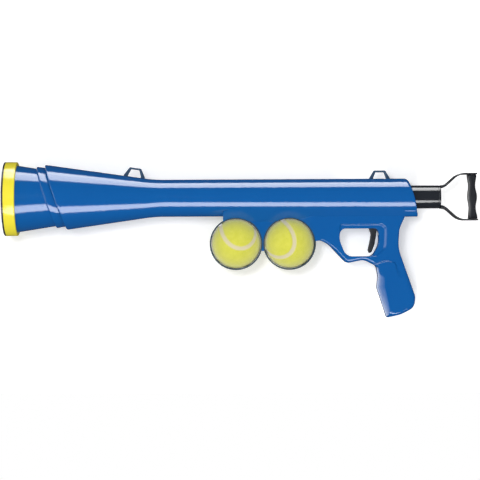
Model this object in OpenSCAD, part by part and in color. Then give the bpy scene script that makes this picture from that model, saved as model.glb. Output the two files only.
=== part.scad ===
// Spring-powered tennis ball launcher for dogs.
// A moulded two-half body carries a flared muzzle, two ball hoops, a trigger and a pistol grip.
// Pulling the rear handle draws the plunger back against the main spring until the sear holds it.
// X runs from the muzzle mouth to the pull handle, Y across the body, Z up. Millimetres.

/* [Balls and hoops] */
// Diameter of a ball
ball_d = 63; // [60:0.5:65]
// Wall of a hollow ball
ball_wall = 5.5; // [4:0.5:8]
// Wall of the hoop round a ball
hoop_wall = 1.8; // [1.4:0.1:3]
// Width of the hoops and of the web above them
hoop_w = 16; // [14:0.5:22]
// Room between the two hoops
hoop_gap = 0.4; // [0.2:0.1:3]
// Room between a hoop and the barrel
hoop_drop = 0.9; // [0.5:0.1:6]

/* [Muzzle] */
// Outer diameter of the muzzle ring
ring_d = 93.6; // [92:0.2:98]
// Length of the muzzle ring
ring_len = 15; // [12:0.5:20]
// Thickness of the ring's front lip
ring_lip = 4; // [3:0.5:6]
// Diameter of the mouth
mouth_d = 80; // [77:0.5:81]
// Diameter of the collar behind the ring
collar_d = 85; // [84:0.2:87]
// Taper of the collar, degrees from the axis
collar_taper = 9; // [7:0.5:10]
// Length of the collar from the ring to the bead
collar_len = 38.5; // [34:0.5:44]
// Length of the slanted bead
bead_len = 12; // [9:0.5:15]
// Height of the bead above the collar
bead_h = 2.5; // [1:0.1:3]
// Slant of the bead, degrees
bead_slant = 18.5; // [10:0.5:20]
// Length of the collar inside the body
spigot_len = 30; // [26:1:36]

/* [Barrel] */
// Wall of the body
wall = 2.5; // [2:0.1:3]
// Outer diameter of the barrel
barrel_d = 47; // [46:0.5:50]
// Outer diameter of the flared lip
flare_d = 82.4; // [82:0.2:85]
// Length from the lip to the straight barrel
flare_len = 124; // [115:1:135]
// Length of the straight barrel
barrel_len = 333.8; // [325:1:350]
// Radius that blends the flare into the barrel
flare_blend = 170; // [100:5:250]
// Slant of the rear face, degrees
rear_slant = 21; // [10:1:25]
// From the end of the barrel to the rear face, on the axis
rear_cut = 4.7; // [2:0.1:6]

/* [Lower body] */
// Width of the frame round the trigger
frame_w = 24; // [22:0.5:28]
// Width of the pistol grip
grip_w = 28; // [26:0.5:34]
// From the rear of the barrel to the root of the grip
grip_setback = 53.8; // [50:0.5:60]
// From the root of the grip to the front of the trigger guard
guard_len = 75.5; // [74:0.5:82]

/* [Strap loops] */
// Height of a strap loop's window
loop_window_h = 7.4; // [5:0.2:10]
// Mean length of a strap loop's window
loop_window_l = 13.4; // [10:0.2:18]
// Thickness of a strap loop's bar
loop_bar = 2.4; // [2:0.1:4]
// Width of a strap loop
loop_w = 6; // [4:0.5:10]
// From the front strap loop to the straight barrel
front_loop_back = 24; // [18:0.5:40]
// From the rear strap loop to the end of the barrel
rear_loop_back = 48.4; // [40:0.2:60]

/* [Plunger] */
// Outer diameter of the pull tube
tube_d = 29.2; // [28:0.2:30]
// Wall of the pull tube
tube_wall = 3; // [2.6:0.1:3.4]
// Length of the tube outside the body, from the barrel's end to the handle
tube_out = 27.7; // [24:0.5:40]
// Travel from rest to cocked
stroke = 160; // [120:5:170]
// Depth of the groove that the sear drops into
groove_depth = 1.6; // [1:0.1:1.8]
// Thickness of the plunger head's disc
head_t = 7.7; // [6:0.1:10]
// Length of the plunger head with its skirt
head_len = 61.7; // [56:0.5:75]
// Thickness of the striker pad
pad_t = 4.1; // [3:0.1:4.5]
// Diameter of the striker pad
pad_d = 36; // [30:0.5:37]
// Thickness of the buffer washer
buffer_t = 3; // [2:0.1:5]
// Length of the plugs inside the tube
plug_len = 20; // [16:0.5:30]
// Length of the rear bushing
bushing_len = 14; // [10:0.5:18]

/* [Springs] */
// Wire of the main spring
main_wire = 2.2; // [1.8:0.1:2.4]
// Turns of the main spring
main_turns = 24; // [18:1:28]
// Turns of the trigger spring
trigger_turns = 7; // [5:1:9]
// Turns of the sear spring
sear_turns = 6; // [4:1:8]
// Wire of the two small springs
small_wire = 0.8; // [0.6:0.05:0.9]
// Mean diameter of the trigger spring
trigger_spring_d = 5.4; // [4:0.1:6]
// Mean diameter of the sear spring
sear_spring_d = 4.4; // [3.6:0.1:4.8]

/* [Trigger] */
// Width of the trigger and the sear
trigger_w = 8; // [6:0.5:9]
// Width of the trigger's inner arm
arm_w = 5; // [3:0.5:5.5]
// Diameter of the pins
pin_d = 4; // [3:0.1:5]
// Length of the sear along the barrel
sear_len = 13.8; // [13:0.1:15]
// Length of the sear's nose along the barrel
nose_len = 8; // [6:0.1:8.5]

/* [Pull handle] */
// Height of the pull handle
handle_h = 60; // [54:0.5:70]
// Reach of the pull handle behind the tube
handle_reach = 45.5; // [42:0.5:55]
// Width of the handle straps
handle_w = 20; // [16:0.5:26]
// Thickness of the handle straps
strap_t = 1.8; // [1.4:0.1:3]
// Thickness of the grip bar
bar_t = 10.8; // [9:0.2:14]
// Depth of the finger waves in the grip bar
wave = 0.7; // [0.2:0.1:1.2]

/* [Screws] */
// Diameter of a body screw's shank
screw_d = 2.9; // [2.5:0.1:3.2]
// Diameter of a body screw's head
screw_head_d = 6; // [5:0.1:6.4]
// Length of a body screw under its head
screw_len = 11; // [9:0.5:13]

/* [Fits] */
// Radial room of a running fit
run_fit = 0.05; // [0.02:0.01:0.1]
// Room between parts that move past each other
gap = 0.3; // [0.2:0.05:0.5]

/* [Hidden] */
$fn = 72;

body_blue = "#0c5da5";
black = "#2b2f36";
steel = "#b9bec4";
rubber = "#3a3a3c";

// Places along the barrel axis
x_bead = ring_len + collar_len;
x_lip = x_bead + bead_len;
x_throat = x_lip + flare_len;
x_rear = x_throat + barrel_len;
x_frame = x_rear - grip_setback;
x_tube_end = x_rear + tube_out;

// Radii round the barrel axis
barrel_r = barrel_d / 2;
bore_r = barrel_r - wall;
flare_r = flare_d / 2;
flare_slope = (flare_r - barrel_r) / flare_len;
tube_r = tube_d / 2;
tube_bore_r = tube_r - tube_wall;
pin_r = pin_d / 2;
wire_sides = 6;
rings_per_turn = 10;
main_mean_r = (tube_r + gap + main_wire / 2) / cos(180 / rings_per_turn);
pad_r = pad_d / 2;
pad_room = 1.6;
seat_r = pad_r + pad_room;
collar_slope = tan(collar_taper);

function flare_at(x) = flare_r - (x - x_lip) * flare_slope;
function collar_at(x) = collar_d / 2 - (x - ring_len) * collar_slope;

// The ball rests in the flare; the striker waits just behind it
ball_r = ball_d / 2;
flare_angle = atan(flare_slope);
seat_x = x_lip + (flare_r - wall - ball_r * cos(flare_angle)) / flare_slope;
ball_seat_back = seat_x - ball_r * sin(flare_angle) + ball_r;
pad_gap = 1;
x_pad = ball_seat_back + pad_gap;
x_head = x_pad + pad_t;
x_buffer = x_head - gap - buffer_t;
stop_t = 4;
x_head_disc = x_head + head_t;
front_loop_x = x_throat - front_loop_back;
rear_loop_x = x_rear - rear_loop_back;

// Small amounts: how far a cut runs past a face, and how far a rib bites into a wall
cut = 1;
bite = 0.5;

// Balls under the barrel
hoop_in = ball_r + gap;
hoop_out = hoop_in + hoop_wall;
ball_z = -(barrel_r + hoop_drop + hoop_out);
ball_pitch = 2 * hoop_out + hoop_gap;
x_guard = x_frame - guard_len;
x_ball_rear = x_guard - hoop_gap - hoop_out;
x_ball_front = x_ball_rear - ball_pitch;
rack_angle = 29.3;
rack_tip = hoop_out * sin(rack_angle);
rack_sink = 0.8;
web_drop = 9.5;
web_rise = 3.5;
web_lap = 6;
web_floor = 14;
rack_screw_rise = 21;

// Trigger and sear, measured from the root of the grip and the underside of the barrel
pivot = [8, -8];
arm_end = [-9, -6];
arm_end_r = 1.8;
arm_half_t = 1.5;
hub_r = 5;
hub_rise = 0.2;
sear_back = -6.2;
sear_top = -2.8;
sear_bottom = -10;
window_top = -16;
floor_z = window_top + wall;
slot_room = 0.5;
slot_half_h = 2.4;
spring_pocket_top = -4.2;
sear_spring_x = -16.5;
sear_pocket_r = 3;
trigger_spring_z = -23;
trigger_back = 1.8;
spring_rib = 16.5;
spring_rib_half_h = 6.5;
rib_t = 2.5;
cheek_top = -7;
trigger_slot_front = -12;
trigger_slot_back = 13.5;
blade_slot_front = -3.5;
blade_slot_back = 12.5;
blade_slot_bottom = -50.1;
guard_solid = [-70, -44];
guard_solid_back = 7;
pin_half = frame_w / 2 - 1;
boss_r = 4.2;
pin_boss_r = 4.6;
slot_half_w = trigger_w / 2 + slot_room;
guide_half_w = trigger_w / 2 + gap;
x_sear_back = x_frame + sear_back;
x_sear_front = x_sear_back - sear_len;

// The bushing stands in front of the sear, so that the spring ends before it
bushing_stop_t = 3;
x_bushing_stop = x_sear_front - bushing_stop_t - 2 * gap;
x_bushing = x_bushing_stop - bushing_len;

// Outline points are [x, z, corner radius], x from the root of the grip, z from the barrel's underside
frame_corners = [
    [-guard_len, -29.4, 0], [-62, -34.3, 28], [-38, -60.1, 9], [-16, -55.5, 16], [0.5, -63.5, 6],
    [2.9, -76.5, 20], [0.3, -89.7, 4], [4.1, -96, 6], [13.9, -128.9, 5], [30.5, -124.8, 40],
    [49.1, -115.5, 9], [51.1, -103, 14], [27.5, -41, 45], [29.8, -16.5, 25], [40.5, 3.5, 0],
    [40.5, 11.5, 0], [-guard_len, 11.5, 0]];
grip_corners = [
    [1, -64.5, 4], [2.9, -76.5, 20], [0.3, -89.7, 4], [4.1, -96, 6], [13.9, -128.9, 5], [30.5, -124.8, 40],
    [49.1, -115.5, 9], [51.1, -103, 14], [34, -61.5, 12], [20, -55, 14], [5, -57, 9]];
window_corners = [
    [-38.5, -51.3, 12], [-5, -51.3, 6], [4.9, -34.5, 18], [2.3, window_top, 5], [-45, window_top, 7],
    [-46.3, -28.5, 15]];
trigger_corners = [
    [-8, -47.7, 1.6], [-4.3, -45.7, 2], [-0.9, -36.5, 12], [1.3, -24.5, 8], [1.7, -16.5, 3], [11, -9.5, 0],
    [8.5, -4.6, 0], [0.5, -7.5, 2], [-8.5, -15, 2], [-5.6, -23.3, 6], [-6.9, -31.5, 10], [-9.6, -43.5, 3]];
frame_screws = [[-65.5, -16.5], [-31.5, -7.5], [17.5, -43]];
grip_screws = [[14.5, -80.5], [36, -104], [20, -117]];
corner_steps = 5;

// Rows of points
function unit(v) = v / norm(v);
function flat_cross(a, b) = a[0] * b[1] - a[1] * b[0];
function wrap(list, i) = list[(i + len(list)) % len(list)];
function flat(p) = [p[0], p[1]];
function arc_corner(before, corner, after) =
    let (c = flat(corner), a = unit(flat(before) - c), b = unit(flat(after) - c),
        half = acos(a * b) / 2,
        reach = min(corner[2] / tan(half), 0.49 * min(norm(flat(before) - c), norm(flat(after) - c))),
        r = reach * tan(half), centre = c + unit(a + b) * r / sin(half),
        start = c + a * reach - centre, from = atan2(start[1], start[0]),
        sweep = (180 - 2 * half) * sign(flat_cross(b, a)))
    [for (k = [0:corner_steps])
        centre + r * [cos(from + sweep * k / corner_steps), sin(from + sweep * k / corner_steps)]];
function outline(corners) = [for (i = [0:len(corners) - 1])
    each corners[i][2] == 0 ? [flat(corners[i])]
        : arc_corner(wrap(corners, i - 1), corners[i], wrap(corners, i + 1))];
function left_of(v) = [-v[1], v[0]];
function inset(points, d) = [for (i = [0:len(points) - 1])
    let (n = left_of(unit(points[i] - wrap(points, i - 1))), m = left_of(unit(wrap(points, i + 1) - points[i])))
    points[i] + d * (n + m) / (1 + n * m)];
function placed(points) = [for (p = points) p + [x_frame, -barrel_r]];

frame_outline = placed(outline(frame_corners));
grip_outline = placed(outline(grip_corners));
window_outline = placed(outline(window_corners));
trigger_outline = placed(outline(trigger_corners));
pivot_at = [x_frame, -barrel_r] + pivot;

// The start of a turned surface is kept off the plane where the halves part
seam_turn = 50;

// Solids of revolution round the barrel axis, from [x, radius] points
module turned(points) {
    rotate([0, 90, 0]) rotate([0, 0, seam_turn]) rotate_extrude() polygon([for (p = points) [p[1], p[0]]]);
}

module bar(from, to, r) {
    translate([from, 0, 0]) rotate([0, 90, 0]) rotate([0, 0, seam_turn]) cylinder(h = to - from, r = r);
}

// A round bar across the body at a place in the side view
module cross_bar(at, r, from, to) {
    translate([at[0], from, at[1]]) rotate([-90, 0, 0]) cylinder(h = to - from, r = r);
}

// A side-view outline given a width across the body
module plate(points, half_w) {
    translate([0, half_w, 0]) rotate([90, 0, 0]) linear_extrude(2 * half_w) polygon(points);
}

// The same with bevelled edges
module bevelled_plate(points, half_w, bevel) {
    count = len(points);
    rows = [[bevel, -half_w], [0, bevel - half_w], [0, half_w - bevel], [bevel, half_w]];
    last = len(rows) - 1;
    solid_points = [for (row = rows) for (p = inset(points, row[0])) [p[0], row[1], p[1]]];
    polyhedron(solid_points, concat(
        [[for (i = [count - 1:-1:0]) i], [for (i = [0:count - 1]) last * count + i]],
        [for (k = [0:last - 1]) for (i = [0:count - 1]) let (a = k * count + i, b = k * count + (i + 1) % count)
            each [[a, b, b + count], [a, b + count, a + count]]]));
}

// A block between two corners given as [x, y, z]
module block(low, high) {
    translate(low) cube(high - low);
}

// Everything behind a slanted plane that crosses the axis at x
module behind_slant(x, angle) {
    reach = 800;
    translate([x, 0, 0]) rotate([0, -angle, 0]) block([0, -reach, -reach], [reach, reach, reach]);
}

// Body
module barrel_outside() {
    front = x_lip - flare_r;
    corners = [[front, 0, 0], [x_rear, 0, 0], [x_rear, barrel_r, 0], [x_throat, barrel_r, flare_blend],
        [front, flare_at(front), 0]];
    difference() {
        intersection() {
            turned(outline(corners));
            behind_slant(x_lip, bead_slant);
        }
        translate([x_rear - rear_cut, 0, 0]) rotate([0, -rear_slant, 0])
            block([0, -barrel_d, -barrel_d], [barrel_d, barrel_d, barrel_d]);
    }
}

module barrel_inside() {
    front = x_lip - flare_r;
    corners = [[front, 0, 0], [x_rear, 0, 0], [x_rear, bore_r, 0], [x_throat, bore_r, flare_blend],
        [front, flare_at(front) - wall, 0]];
    difference() {
        turned(outline(corners));
        translate([x_rear - rear_cut - wall, 0, 0]) rotate([0, -rear_slant, 0])
            block([0, -barrel_d, -barrel_d], [barrel_d, barrel_d, barrel_d]);
    }
}

module rack() {
    plate([[x_ball_front - rack_tip, ball_z + hoop_out * cos(rack_angle) - rack_sink], [x_ball_front, ball_z],
        [x_ball_front + ball_pitch / 2, ball_z - web_drop], [x_ball_rear, ball_z],
        [x_guard + web_lap, ball_z + web_rise], [x_guard + web_lap, -barrel_r / 2],
        [x_ball_front - rack_tip, -barrel_r / 2]], hoop_w / 2);
    for (x = [x_ball_front, x_ball_rear])
        cross_bar([x, ball_z], hoop_out, -hoop_w / 2, hoop_w / 2);
}

module rack_inside() {
    inner = hoop_w / 2 - wall;
    difference() {
        block([x_ball_front, -inner, ball_z + web_floor], [x_guard - wall, inner, -barrel_r]);
        for (x = [x_ball_front, x_ball_rear])
            cross_bar([x, ball_z], hoop_out + hoop_wall, -hoop_w, hoop_w);
        bar(0, x_rear, barrel_r);
    }
}

module frame_inside() {
    difference() {
        union() {
            plate(inset(frame_outline, wall), frame_w / 2 - wall);
            plate(inset(grip_outline, wall + bite), grip_w / 2 - wall);
        }
        plate(inset(window_outline, -wall), grip_w);
        block([x_guard, -grip_w, guard_solid[0] - barrel_r],
            [x_frame + guard_solid_back, grip_w, guard_solid[1] - barrel_r]);
        bar(0, x_rear, barrel_r);
    }
}

module strap_loop(x, base, angle) {
    foot = 4;
    lean = 1.5;
    round = 2;
    sink = 3;
    outer_h = loop_window_h + loop_bar;
    half = loop_window_l / 2;
    half_base = half + loop_bar + foot;
    half_top = half + loop_bar - lean - cut;
    corners = [[-half_base, -sink, 0], [half_base, -sink, 0], [half_base, 0, round], [half_top, outer_h, round],
        [-half_top, outer_h, round], [-half_base, 0, round]];
    window = [[-half - lean, 0, round / 2], [half + lean, 0, round / 2],
        [half - lean, loop_window_h, round / 2], [lean - half, loop_window_h, round / 2]];
    translate([x, 0, base]) rotate([0, angle, 0]) difference() {
        plate(outline(corners), loop_w / 2);
        plate(outline(window), loop_w);
    }
}

module strap_loops() {
    strap_loop(front_loop_x, flare_at(front_loop_x), flare_angle);
    strap_loop(rear_loop_x, barrel_r, 0);
}

rack_screw = [x_ball_front + ball_pitch / 2, ball_z + rack_screw_rise];
screw_places = concat([rack_screw], placed(frame_screws), placed(grip_screws));
screw_seat = 5;
screw_head_t = 1.8;

module screw_bosses() {
    for (p = frame_screws)
        cross_bar([x_frame, -barrel_r] + p, boss_r, -frame_w / 2 + wall, frame_w / 2 - wall);
    for (p = grip_screws)
        cross_bar([x_frame, -barrel_r] + p, boss_r, -grip_w / 2 + wall, grip_w / 2 - wall);
    cross_bar(rack_screw, boss_r, -hoop_w / 2 + wall, hoop_w / 2 - wall);
}

module screw_holes() {
    hole_r = screw_d / 2 + run_fit;
    for (p = screw_places) {
        cross_bar(p, hole_r, screw_seat - screw_len - gap, screw_seat + cut);
        cross_bar(p, screw_head_d / 2 + gap, screw_seat, grip_w);
    }
}

// Ribs and cheeks inside the halves that guide the sear, back the springs and hold the pin
module inner_ribs() {
    inner = frame_w / 2 - wall + bite;
    z0 = -barrel_r;
    front = x_sear_front - gap;
    back = x_sear_back + gap;
    spring_z = z0 + trigger_spring_z;
    block([front - rib_t, -inner, z0 + floor_z - bite], [front, inner, z0 + cut]);
    for (s = [0, 1]) mirror([0, s, 0]) {
        block([front, guide_half_w, z0 + floor_z - bite], [back, inner, z0 + cheek_top]);
        block([back, arm_w / 2 + 3 * gap, z0 + cheek_top - bite], [back + rib_t, inner, z0 + cut]);
        cross_bar(pivot_at, pin_boss_r, trigger_w / 2 + hub_rise + gap, inner);
    }
    block([x_frame + spring_rib, -inner, spring_z - spring_rib_half_h],
        [x_frame + spring_rib + rib_t, inner, spring_z + spring_rib_half_h]);
    intersection() {
        union() {
            difference() {
                bar(x_buffer - stop_t, x_buffer, flare_at(x_buffer - stop_t) - wall / 2);
                bar(x_buffer - stop_t - cut, x_buffer + cut, seat_r);
            }
            difference() {
                bar(x_bushing_stop, x_bushing_stop + bushing_stop_t, barrel_r - wall / 2);
                bar(x_bushing_stop - cut, x_bushing_stop + bushing_stop_t + cut, tube_r + 2 * gap);
            }
        }
        barrel_outside();
    }
}

module trigger_openings() {
    z0 = -barrel_r;
    front = x_sear_back - nose_len;
    block([front - slot_room, -slot_half_w, z0 - cut], [x_sear_back + slot_room, slot_half_w, z0 + 2 * wall]);
    block([x_frame + trigger_slot_front, -slot_half_w, z0 + window_top - cut],
        [x_frame + trigger_slot_back, slot_half_w, z0 + floor_z + bite]);
    block([x_frame + blade_slot_front, -slot_half_w, z0 + blade_slot_bottom],
        [x_frame + blade_slot_back, slot_half_w, z0 + floor_z + bite]);
    cross_bar(pivot_at, pin_r, -pin_half, pin_half);
}

module body() {
    difference() {
        union() {
            difference() {
                union() {
                    barrel_outside();
                    rack();
                    plate(frame_outline, frame_w / 2);
                    plate(grip_outline, grip_w / 2);
                    strap_loops();
                }
                barrel_inside();
                rack_inside();
                frame_inside();
            }
            inner_ribs();
            screw_bosses();
        }
        bar(x_bushing_stop, x_rear + barrel_r, tube_r + 2 * gap);
        plate(window_outline, grip_w);
        trigger_openings();
        screw_holes();
        for (x = [x_ball_front, x_ball_rear])
            cross_bar([x, ball_z], hoop_in, -grip_w, grip_w);
    }
}

module half(side) {
    reach = 120;
    low = side < 0 ? -reach : 0;
    block([-reach, low, -2 * reach], [x_rear + reach, low + reach, reach]);
}

module left_shell() {
    color(body_blue) intersection() {
        body();
        half(-1);
    }
}

module right_shell() {
    color(body_blue) intersection() {
        body();
        half(1);
    }
}

// Muzzle
module muzzle_collar() {
    spigot_end = x_lip + spigot_len;
    collar_wall = 2.2;
    reach = flare_r * tan(bead_slant);
    front = x_lip - reach;
    bore = [[0, 0], [spigot_end + cut, 0], [spigot_end + cut, flare_at(spigot_end) - wall - gap - collar_wall],
        [x_bead, collar_at(x_bead) - collar_wall], [ring_len, mouth_d / 2], [0, mouth_d / 2]];
    color(body_blue) difference() {
        union() {
            difference() {
                turned([[ring_lip, 0], [x_bead + reach, 0], [x_bead + reach, collar_at(x_bead + reach)],
                    [ring_len, collar_d / 2], [ring_lip, collar_d / 2]]);
                behind_slant(x_bead + bite, bead_slant);
            }
            difference() {
                intersection() {
                    turned([[front - bead_len, 0], [x_lip + reach, 0],
                        [x_lip + reach, collar_at(x_lip + reach) + bead_h],
                        [front - bead_len, collar_at(front - bead_len) + bead_h]]);
                    behind_slant(x_bead, bead_slant);
                }
                behind_slant(x_lip - gap, bead_slant);
            }
            intersection() {
                turned([[front, 0], [spigot_end, 0], [spigot_end, flare_at(spigot_end) - wall - gap],
                    [front, flare_at(front) - wall - gap]]);
                behind_slant(x_lip - gap - bite, bead_slant);
            }
        }
        turned(bore);
    }
}

module muzzle_ring() {
    front_round = 1.5;
    back_round = 1;
    color("#f5e03c") difference() {
        turned(outline([[0, 0, 0], [ring_len, 0, 0], [ring_len, ring_d / 2, back_round],
            [0, ring_d / 2, front_round]]));
        bar(-cut, ring_len + cut, mouth_d / 2);
        bar(ring_lip, ring_len + cut, collar_d / 2);
    }
}

// Balls
module ball(x) {
    color("#dede4a") translate([x, 0, ball_z]) difference() {
        sphere(r = ball_r);
        sphere(r = ball_r - ball_wall);
    }
}

module ball_front() {
    ball(x_ball_front);
}

module ball_rear() {
    ball(x_ball_rear);
}

// Trigger and sear
module trigger() {
    arm_at = [x_frame, -barrel_r] + arm_end;
    arm_v = arm_at - pivot_at;
    color(black) difference() {
        union() {
            plate(trigger_outline, trigger_w / 2);
            cross_bar(pivot_at, hub_r, -trigger_w / 2 - hub_rise, trigger_w / 2 + hub_rise);
            cross_bar(arm_at, arm_end_r, hub_rise - arm_w / 2, arm_w / 2 - hub_rise);
            translate([pivot_at[0], 0, pivot_at[1]]) rotate([0, -atan2(arm_v[1], arm_v[0]), 0])
                block([0, -arm_w / 2, -arm_half_t], [norm(arm_v), arm_w / 2, arm_half_t]);
        }
        cross_bar(pivot_at, pin_r + run_fit, -trigger_w, trigger_w);
    }
}

module trigger_pin() {
    color(steel) cross_bar(pivot_at, pin_r, -pin_half, pin_half);
}

module sear() {
    z0 = -barrel_r;
    back = x_sear_back;
    slot_z = z0 + arm_end[1];
    color(black) difference() {
        union() {
            block([x_sear_front, -trigger_w / 2, z0 + sear_bottom], [back, trigger_w / 2, z0 + sear_top]);
            block([back - nose_len, -trigger_w / 2, z0 + sear_top], [back, trigger_w / 2, -tube_r - gap]);
        }
        block([x_frame + arm_end[0] - slot_half_h, -arm_w / 2 - slot_room, slot_z - slot_half_h],
            [back + cut, arm_w / 2 + slot_room, slot_z + slot_half_h]);
        translate([x_frame + sear_spring_x, 0, z0 + sear_bottom - cut])
            cylinder(h = spring_pocket_top + cut - sear_bottom, r = sear_pocket_r);
    }
}

// Coil springs: one tube swept round an upright helix that starts at z = 0
function helix_points(mean_r, length, turns) = [for (i = [0:turns * rings_per_turn])
    let (t = 360 * i / rings_per_turn, rise = length * i / (turns * rings_per_turn))
    [mean_r * cos(t), mean_r * sin(t), rise]];
function least_gap(points, wire) =
    min([for (i = [0:len(points) - 1 - rings_per_turn]) norm(points[i + rings_per_turn] - points[i])]) - wire;

module coil(mean_d, wire, length, turns) {
    r = wire / 2;
    centres = helix_points(mean_d / 2, length - wire, turns);
    rise = atan((length - wire) / turns / (PI * mean_d));
    points = [for (i = [0:len(centres) - 1]) for (k = [0:wire_sides - 1])
        let (t = 360 * i / rings_per_turn, a = 360 * k / wire_sides, out = [cos(t), sin(t), 0],
            across = [-sin(rise) * sin(t), sin(rise) * cos(t), -cos(rise)])
        centres[i] + r * cos(a) * out + r * sin(a) * across];
    last = len(centres) - 1;
    echo(str("coil least gap ", least_gap(centres, wire)));
    translate([0, 0, r]) polyhedron(points, concat(
        [[for (k = [wire_sides - 1:-1:0]) k], [for (k = [0:wire_sides - 1]) last * wire_sides + k]],
        [for (i = [0:last - 1]) for (k = [0:wire_sides - 1])
            let (a = i * wire_sides + k, b = i * wire_sides + (k + 1) % wire_sides)
            each [[a, b, b + wire_sides], [a, b + wire_sides, a + wire_sides]]]));
}

module main_spring() {
    start = x_head + head_len + gap;
    color(steel) translate([start, 0, 0]) rotate([0, 90, 0])
        coil(2 * main_mean_r, main_wire, x_bushing - gap - start, main_turns);
}

module trigger_spring() {
    start = x_frame + trigger_back;
    color(steel) translate([start, 0, -barrel_r + trigger_spring_z]) rotate([0, 90, 0])
        coil(trigger_spring_d, small_wire, spring_rib - trigger_back - gap, trigger_turns);
}

module sear_spring() {
    color(steel) translate([x_frame + sear_spring_x, 0, -barrel_r + floor_z + gap / 2])
        coil(sear_spring_d, small_wire, spring_pocket_top - floor_z - 1.5 * gap, sear_turns);
}

// Plunger
plunger_pin_at = [x_head_disc + plug_len / 2, 0];
handle_pin_x = x_tube_end - plug_len / 2;

module pull_tube() {
    nose_back = x_sear_back + 2 * gap - stroke;
    groove_len = nose_len + 4 * gap;
    color(black) difference() {
        bar(x_head_disc, x_tube_end, tube_r);
        bar(x_head_disc - cut, x_tube_end + cut, tube_bore_r);
        difference() {
            bar(nose_back - groove_len, nose_back, tube_r + cut);
            bar(nose_back - groove_len - cut, nose_back + cut, tube_r - groove_depth);
        }
        cross_bar(plunger_pin_at, pin_r, -tube_d, tube_d);
        translate([handle_pin_x, 0, -tube_d]) cylinder(h = 2 * tube_d, r = pin_r);
    }
}

module plunger_head() {
    head_r = bore_r - gap;
    color(black) difference() {
        union() {
            difference() {
                bar(x_head, x_head + head_len, head_r);
                bar(x_head_disc, x_head + head_len + cut, tube_r + run_fit);
            }
            bar(x_head_disc - cut, x_head_disc + plug_len, tube_bore_r - run_fit);
        }
        cross_bar(plunger_pin_at, pin_r, -tube_d, tube_d);
        bar(x_head - cut, x_head + pad_screw_len + gap, pad_screw_r + run_fit);
    }
}

module plunger_pin() {
    color(steel) cross_bar(plunger_pin_at, pin_r, -tube_r, tube_r);
}

pad_screw_r = 1.5;
pad_screw_head_r = 3.5;
pad_screw_head_t = 2;
pad_screw_len = 13;

module striker_pad() {
    edge_round = 1.2;
    color(rubber) difference() {
        turned(outline([[x_pad, 0, 0], [x_head, 0, 0], [x_head, pad_r, 0], [x_pad, pad_r, edge_round]]));
        bar(x_pad - cut, x_head + cut, pad_screw_head_r + gap);
    }
}

module pad_screw() {
    color(steel) {
        bar(x_head - pad_screw_head_t, x_head, pad_screw_head_r);
        bar(x_head - cut, x_head + pad_screw_len, pad_screw_r);
    }
}

module buffer_washer() {
    color(rubber) difference() {
        bar(x_buffer, x_buffer + buffer_t, flare_at(x_buffer + buffer_t) - wall - 2 * gap);
        bar(x_buffer - cut, x_buffer + buffer_t + cut, seat_r);
    }
}

module rear_bushing() {
    color("#6d7278") difference() {
        bar(x_bushing, x_bushing_stop, bore_r - run_fit);
        bar(x_bushing - cut, x_bushing_stop + cut, tube_r + run_fit);
    }
}

// Pull handle
x_handle_end = x_tube_end + handle_reach;
x_bar = x_handle_end - bar_t / 2;
core_t = 4.6;
core_w = 12;
inner_z = handle_h / 2 - strap_t;
handle_neck = [7.5, 1.2, 16];
handle_shoulder = [20, 14];

// The handle's D shape, closed at x = right with corners of radius r
function handle_half(side, right, r) = [
    [x_tube_end + bite, side * (tube_r - bite), 0],
    [x_tube_end + handle_neck[0], side * (tube_r + handle_neck[1]), handle_neck[2]],
    [x_tube_end + handle_shoulder[0], side * handle_h / 2, handle_shoulder[1]],
    [right, side * handle_h / 2, r]];
function reversed(list) = [for (i = [len(list) - 1:-1:0]) list[i]];
function handle_outline(right, r) =
    outline(concat(handle_half(-1, right, r), reversed(handle_half(1, right, r))));

module handle_frame() {
    end_round = 1;
    color(black) difference() {
        union() {
            difference() {
                plate(handle_outline(x_handle_end, end_round), handle_w / 2);
                difference() {
                    plate(inset(handle_outline(x_handle_end + bar_t, 0), strap_t), handle_w);
                    block([x_bar - core_t / 2, -core_w / 2, -handle_h],
                        [x_bar + core_t / 2, core_w / 2, handle_h]);
                }
            }
            bar(x_tube_end, x_tube_end + strap_t, tube_r);
            bar(x_tube_end - plug_len, x_tube_end + strap_t / 2, tube_bore_r - run_fit);
        }
        translate([handle_pin_x, 0, -tube_d]) cylinder(h = 2 * tube_d, r = pin_r);
    }
}

module handle_grip() {
    half_h = inner_z - gap / 2;
    rows = 14;
    waves = 2;
    bevel = 1.5;
    function edge(k) = wave * cos(360 * waves * (k / rows - 0.5));
    right = [for (k = [0:rows]) [x_bar + bar_t / 2 - wave + edge(k), half_h * (2 * k / rows - 1)]];
    left = [for (k = [rows:-1:0]) [x_bar - bar_t / 2 + wave + edge(k) / 2, half_h * (2 * k / rows - 1)]];
    color(black) difference() {
        bevelled_plate(concat(right, left), handle_w / 2, bevel);
        block([x_bar - core_t / 2 - run_fit, -core_w / 2 - run_fit, -handle_h],
            [x_bar + core_t / 2 + run_fit, core_w / 2 + run_fit, handle_h]);
    }
}

module handle_pin() {
    color(steel) translate([handle_pin_x, 0, -tube_r]) cylinder(h = tube_d, r = pin_r);
}

module shell_screws() {
    color(steel) for (p = screw_places) {
        cross_bar(p, screw_d / 2, screw_seat - screw_len, screw_seat + bite);
        cross_bar(p, screw_head_d / 2, screw_seat, screw_seat + screw_head_t);
    }
}

left_shell();
right_shell();
muzzle_collar();
muzzle_ring();
ball_front();
ball_rear();
trigger();
trigger_pin();
trigger_spring();
sear();
sear_spring();
pull_tube();
plunger_head();
plunger_pin();
striker_pad();
pad_screw();
buffer_washer();
main_spring();
rear_bushing();
handle_frame();
handle_grip();
handle_pin();
shell_screws();
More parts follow.
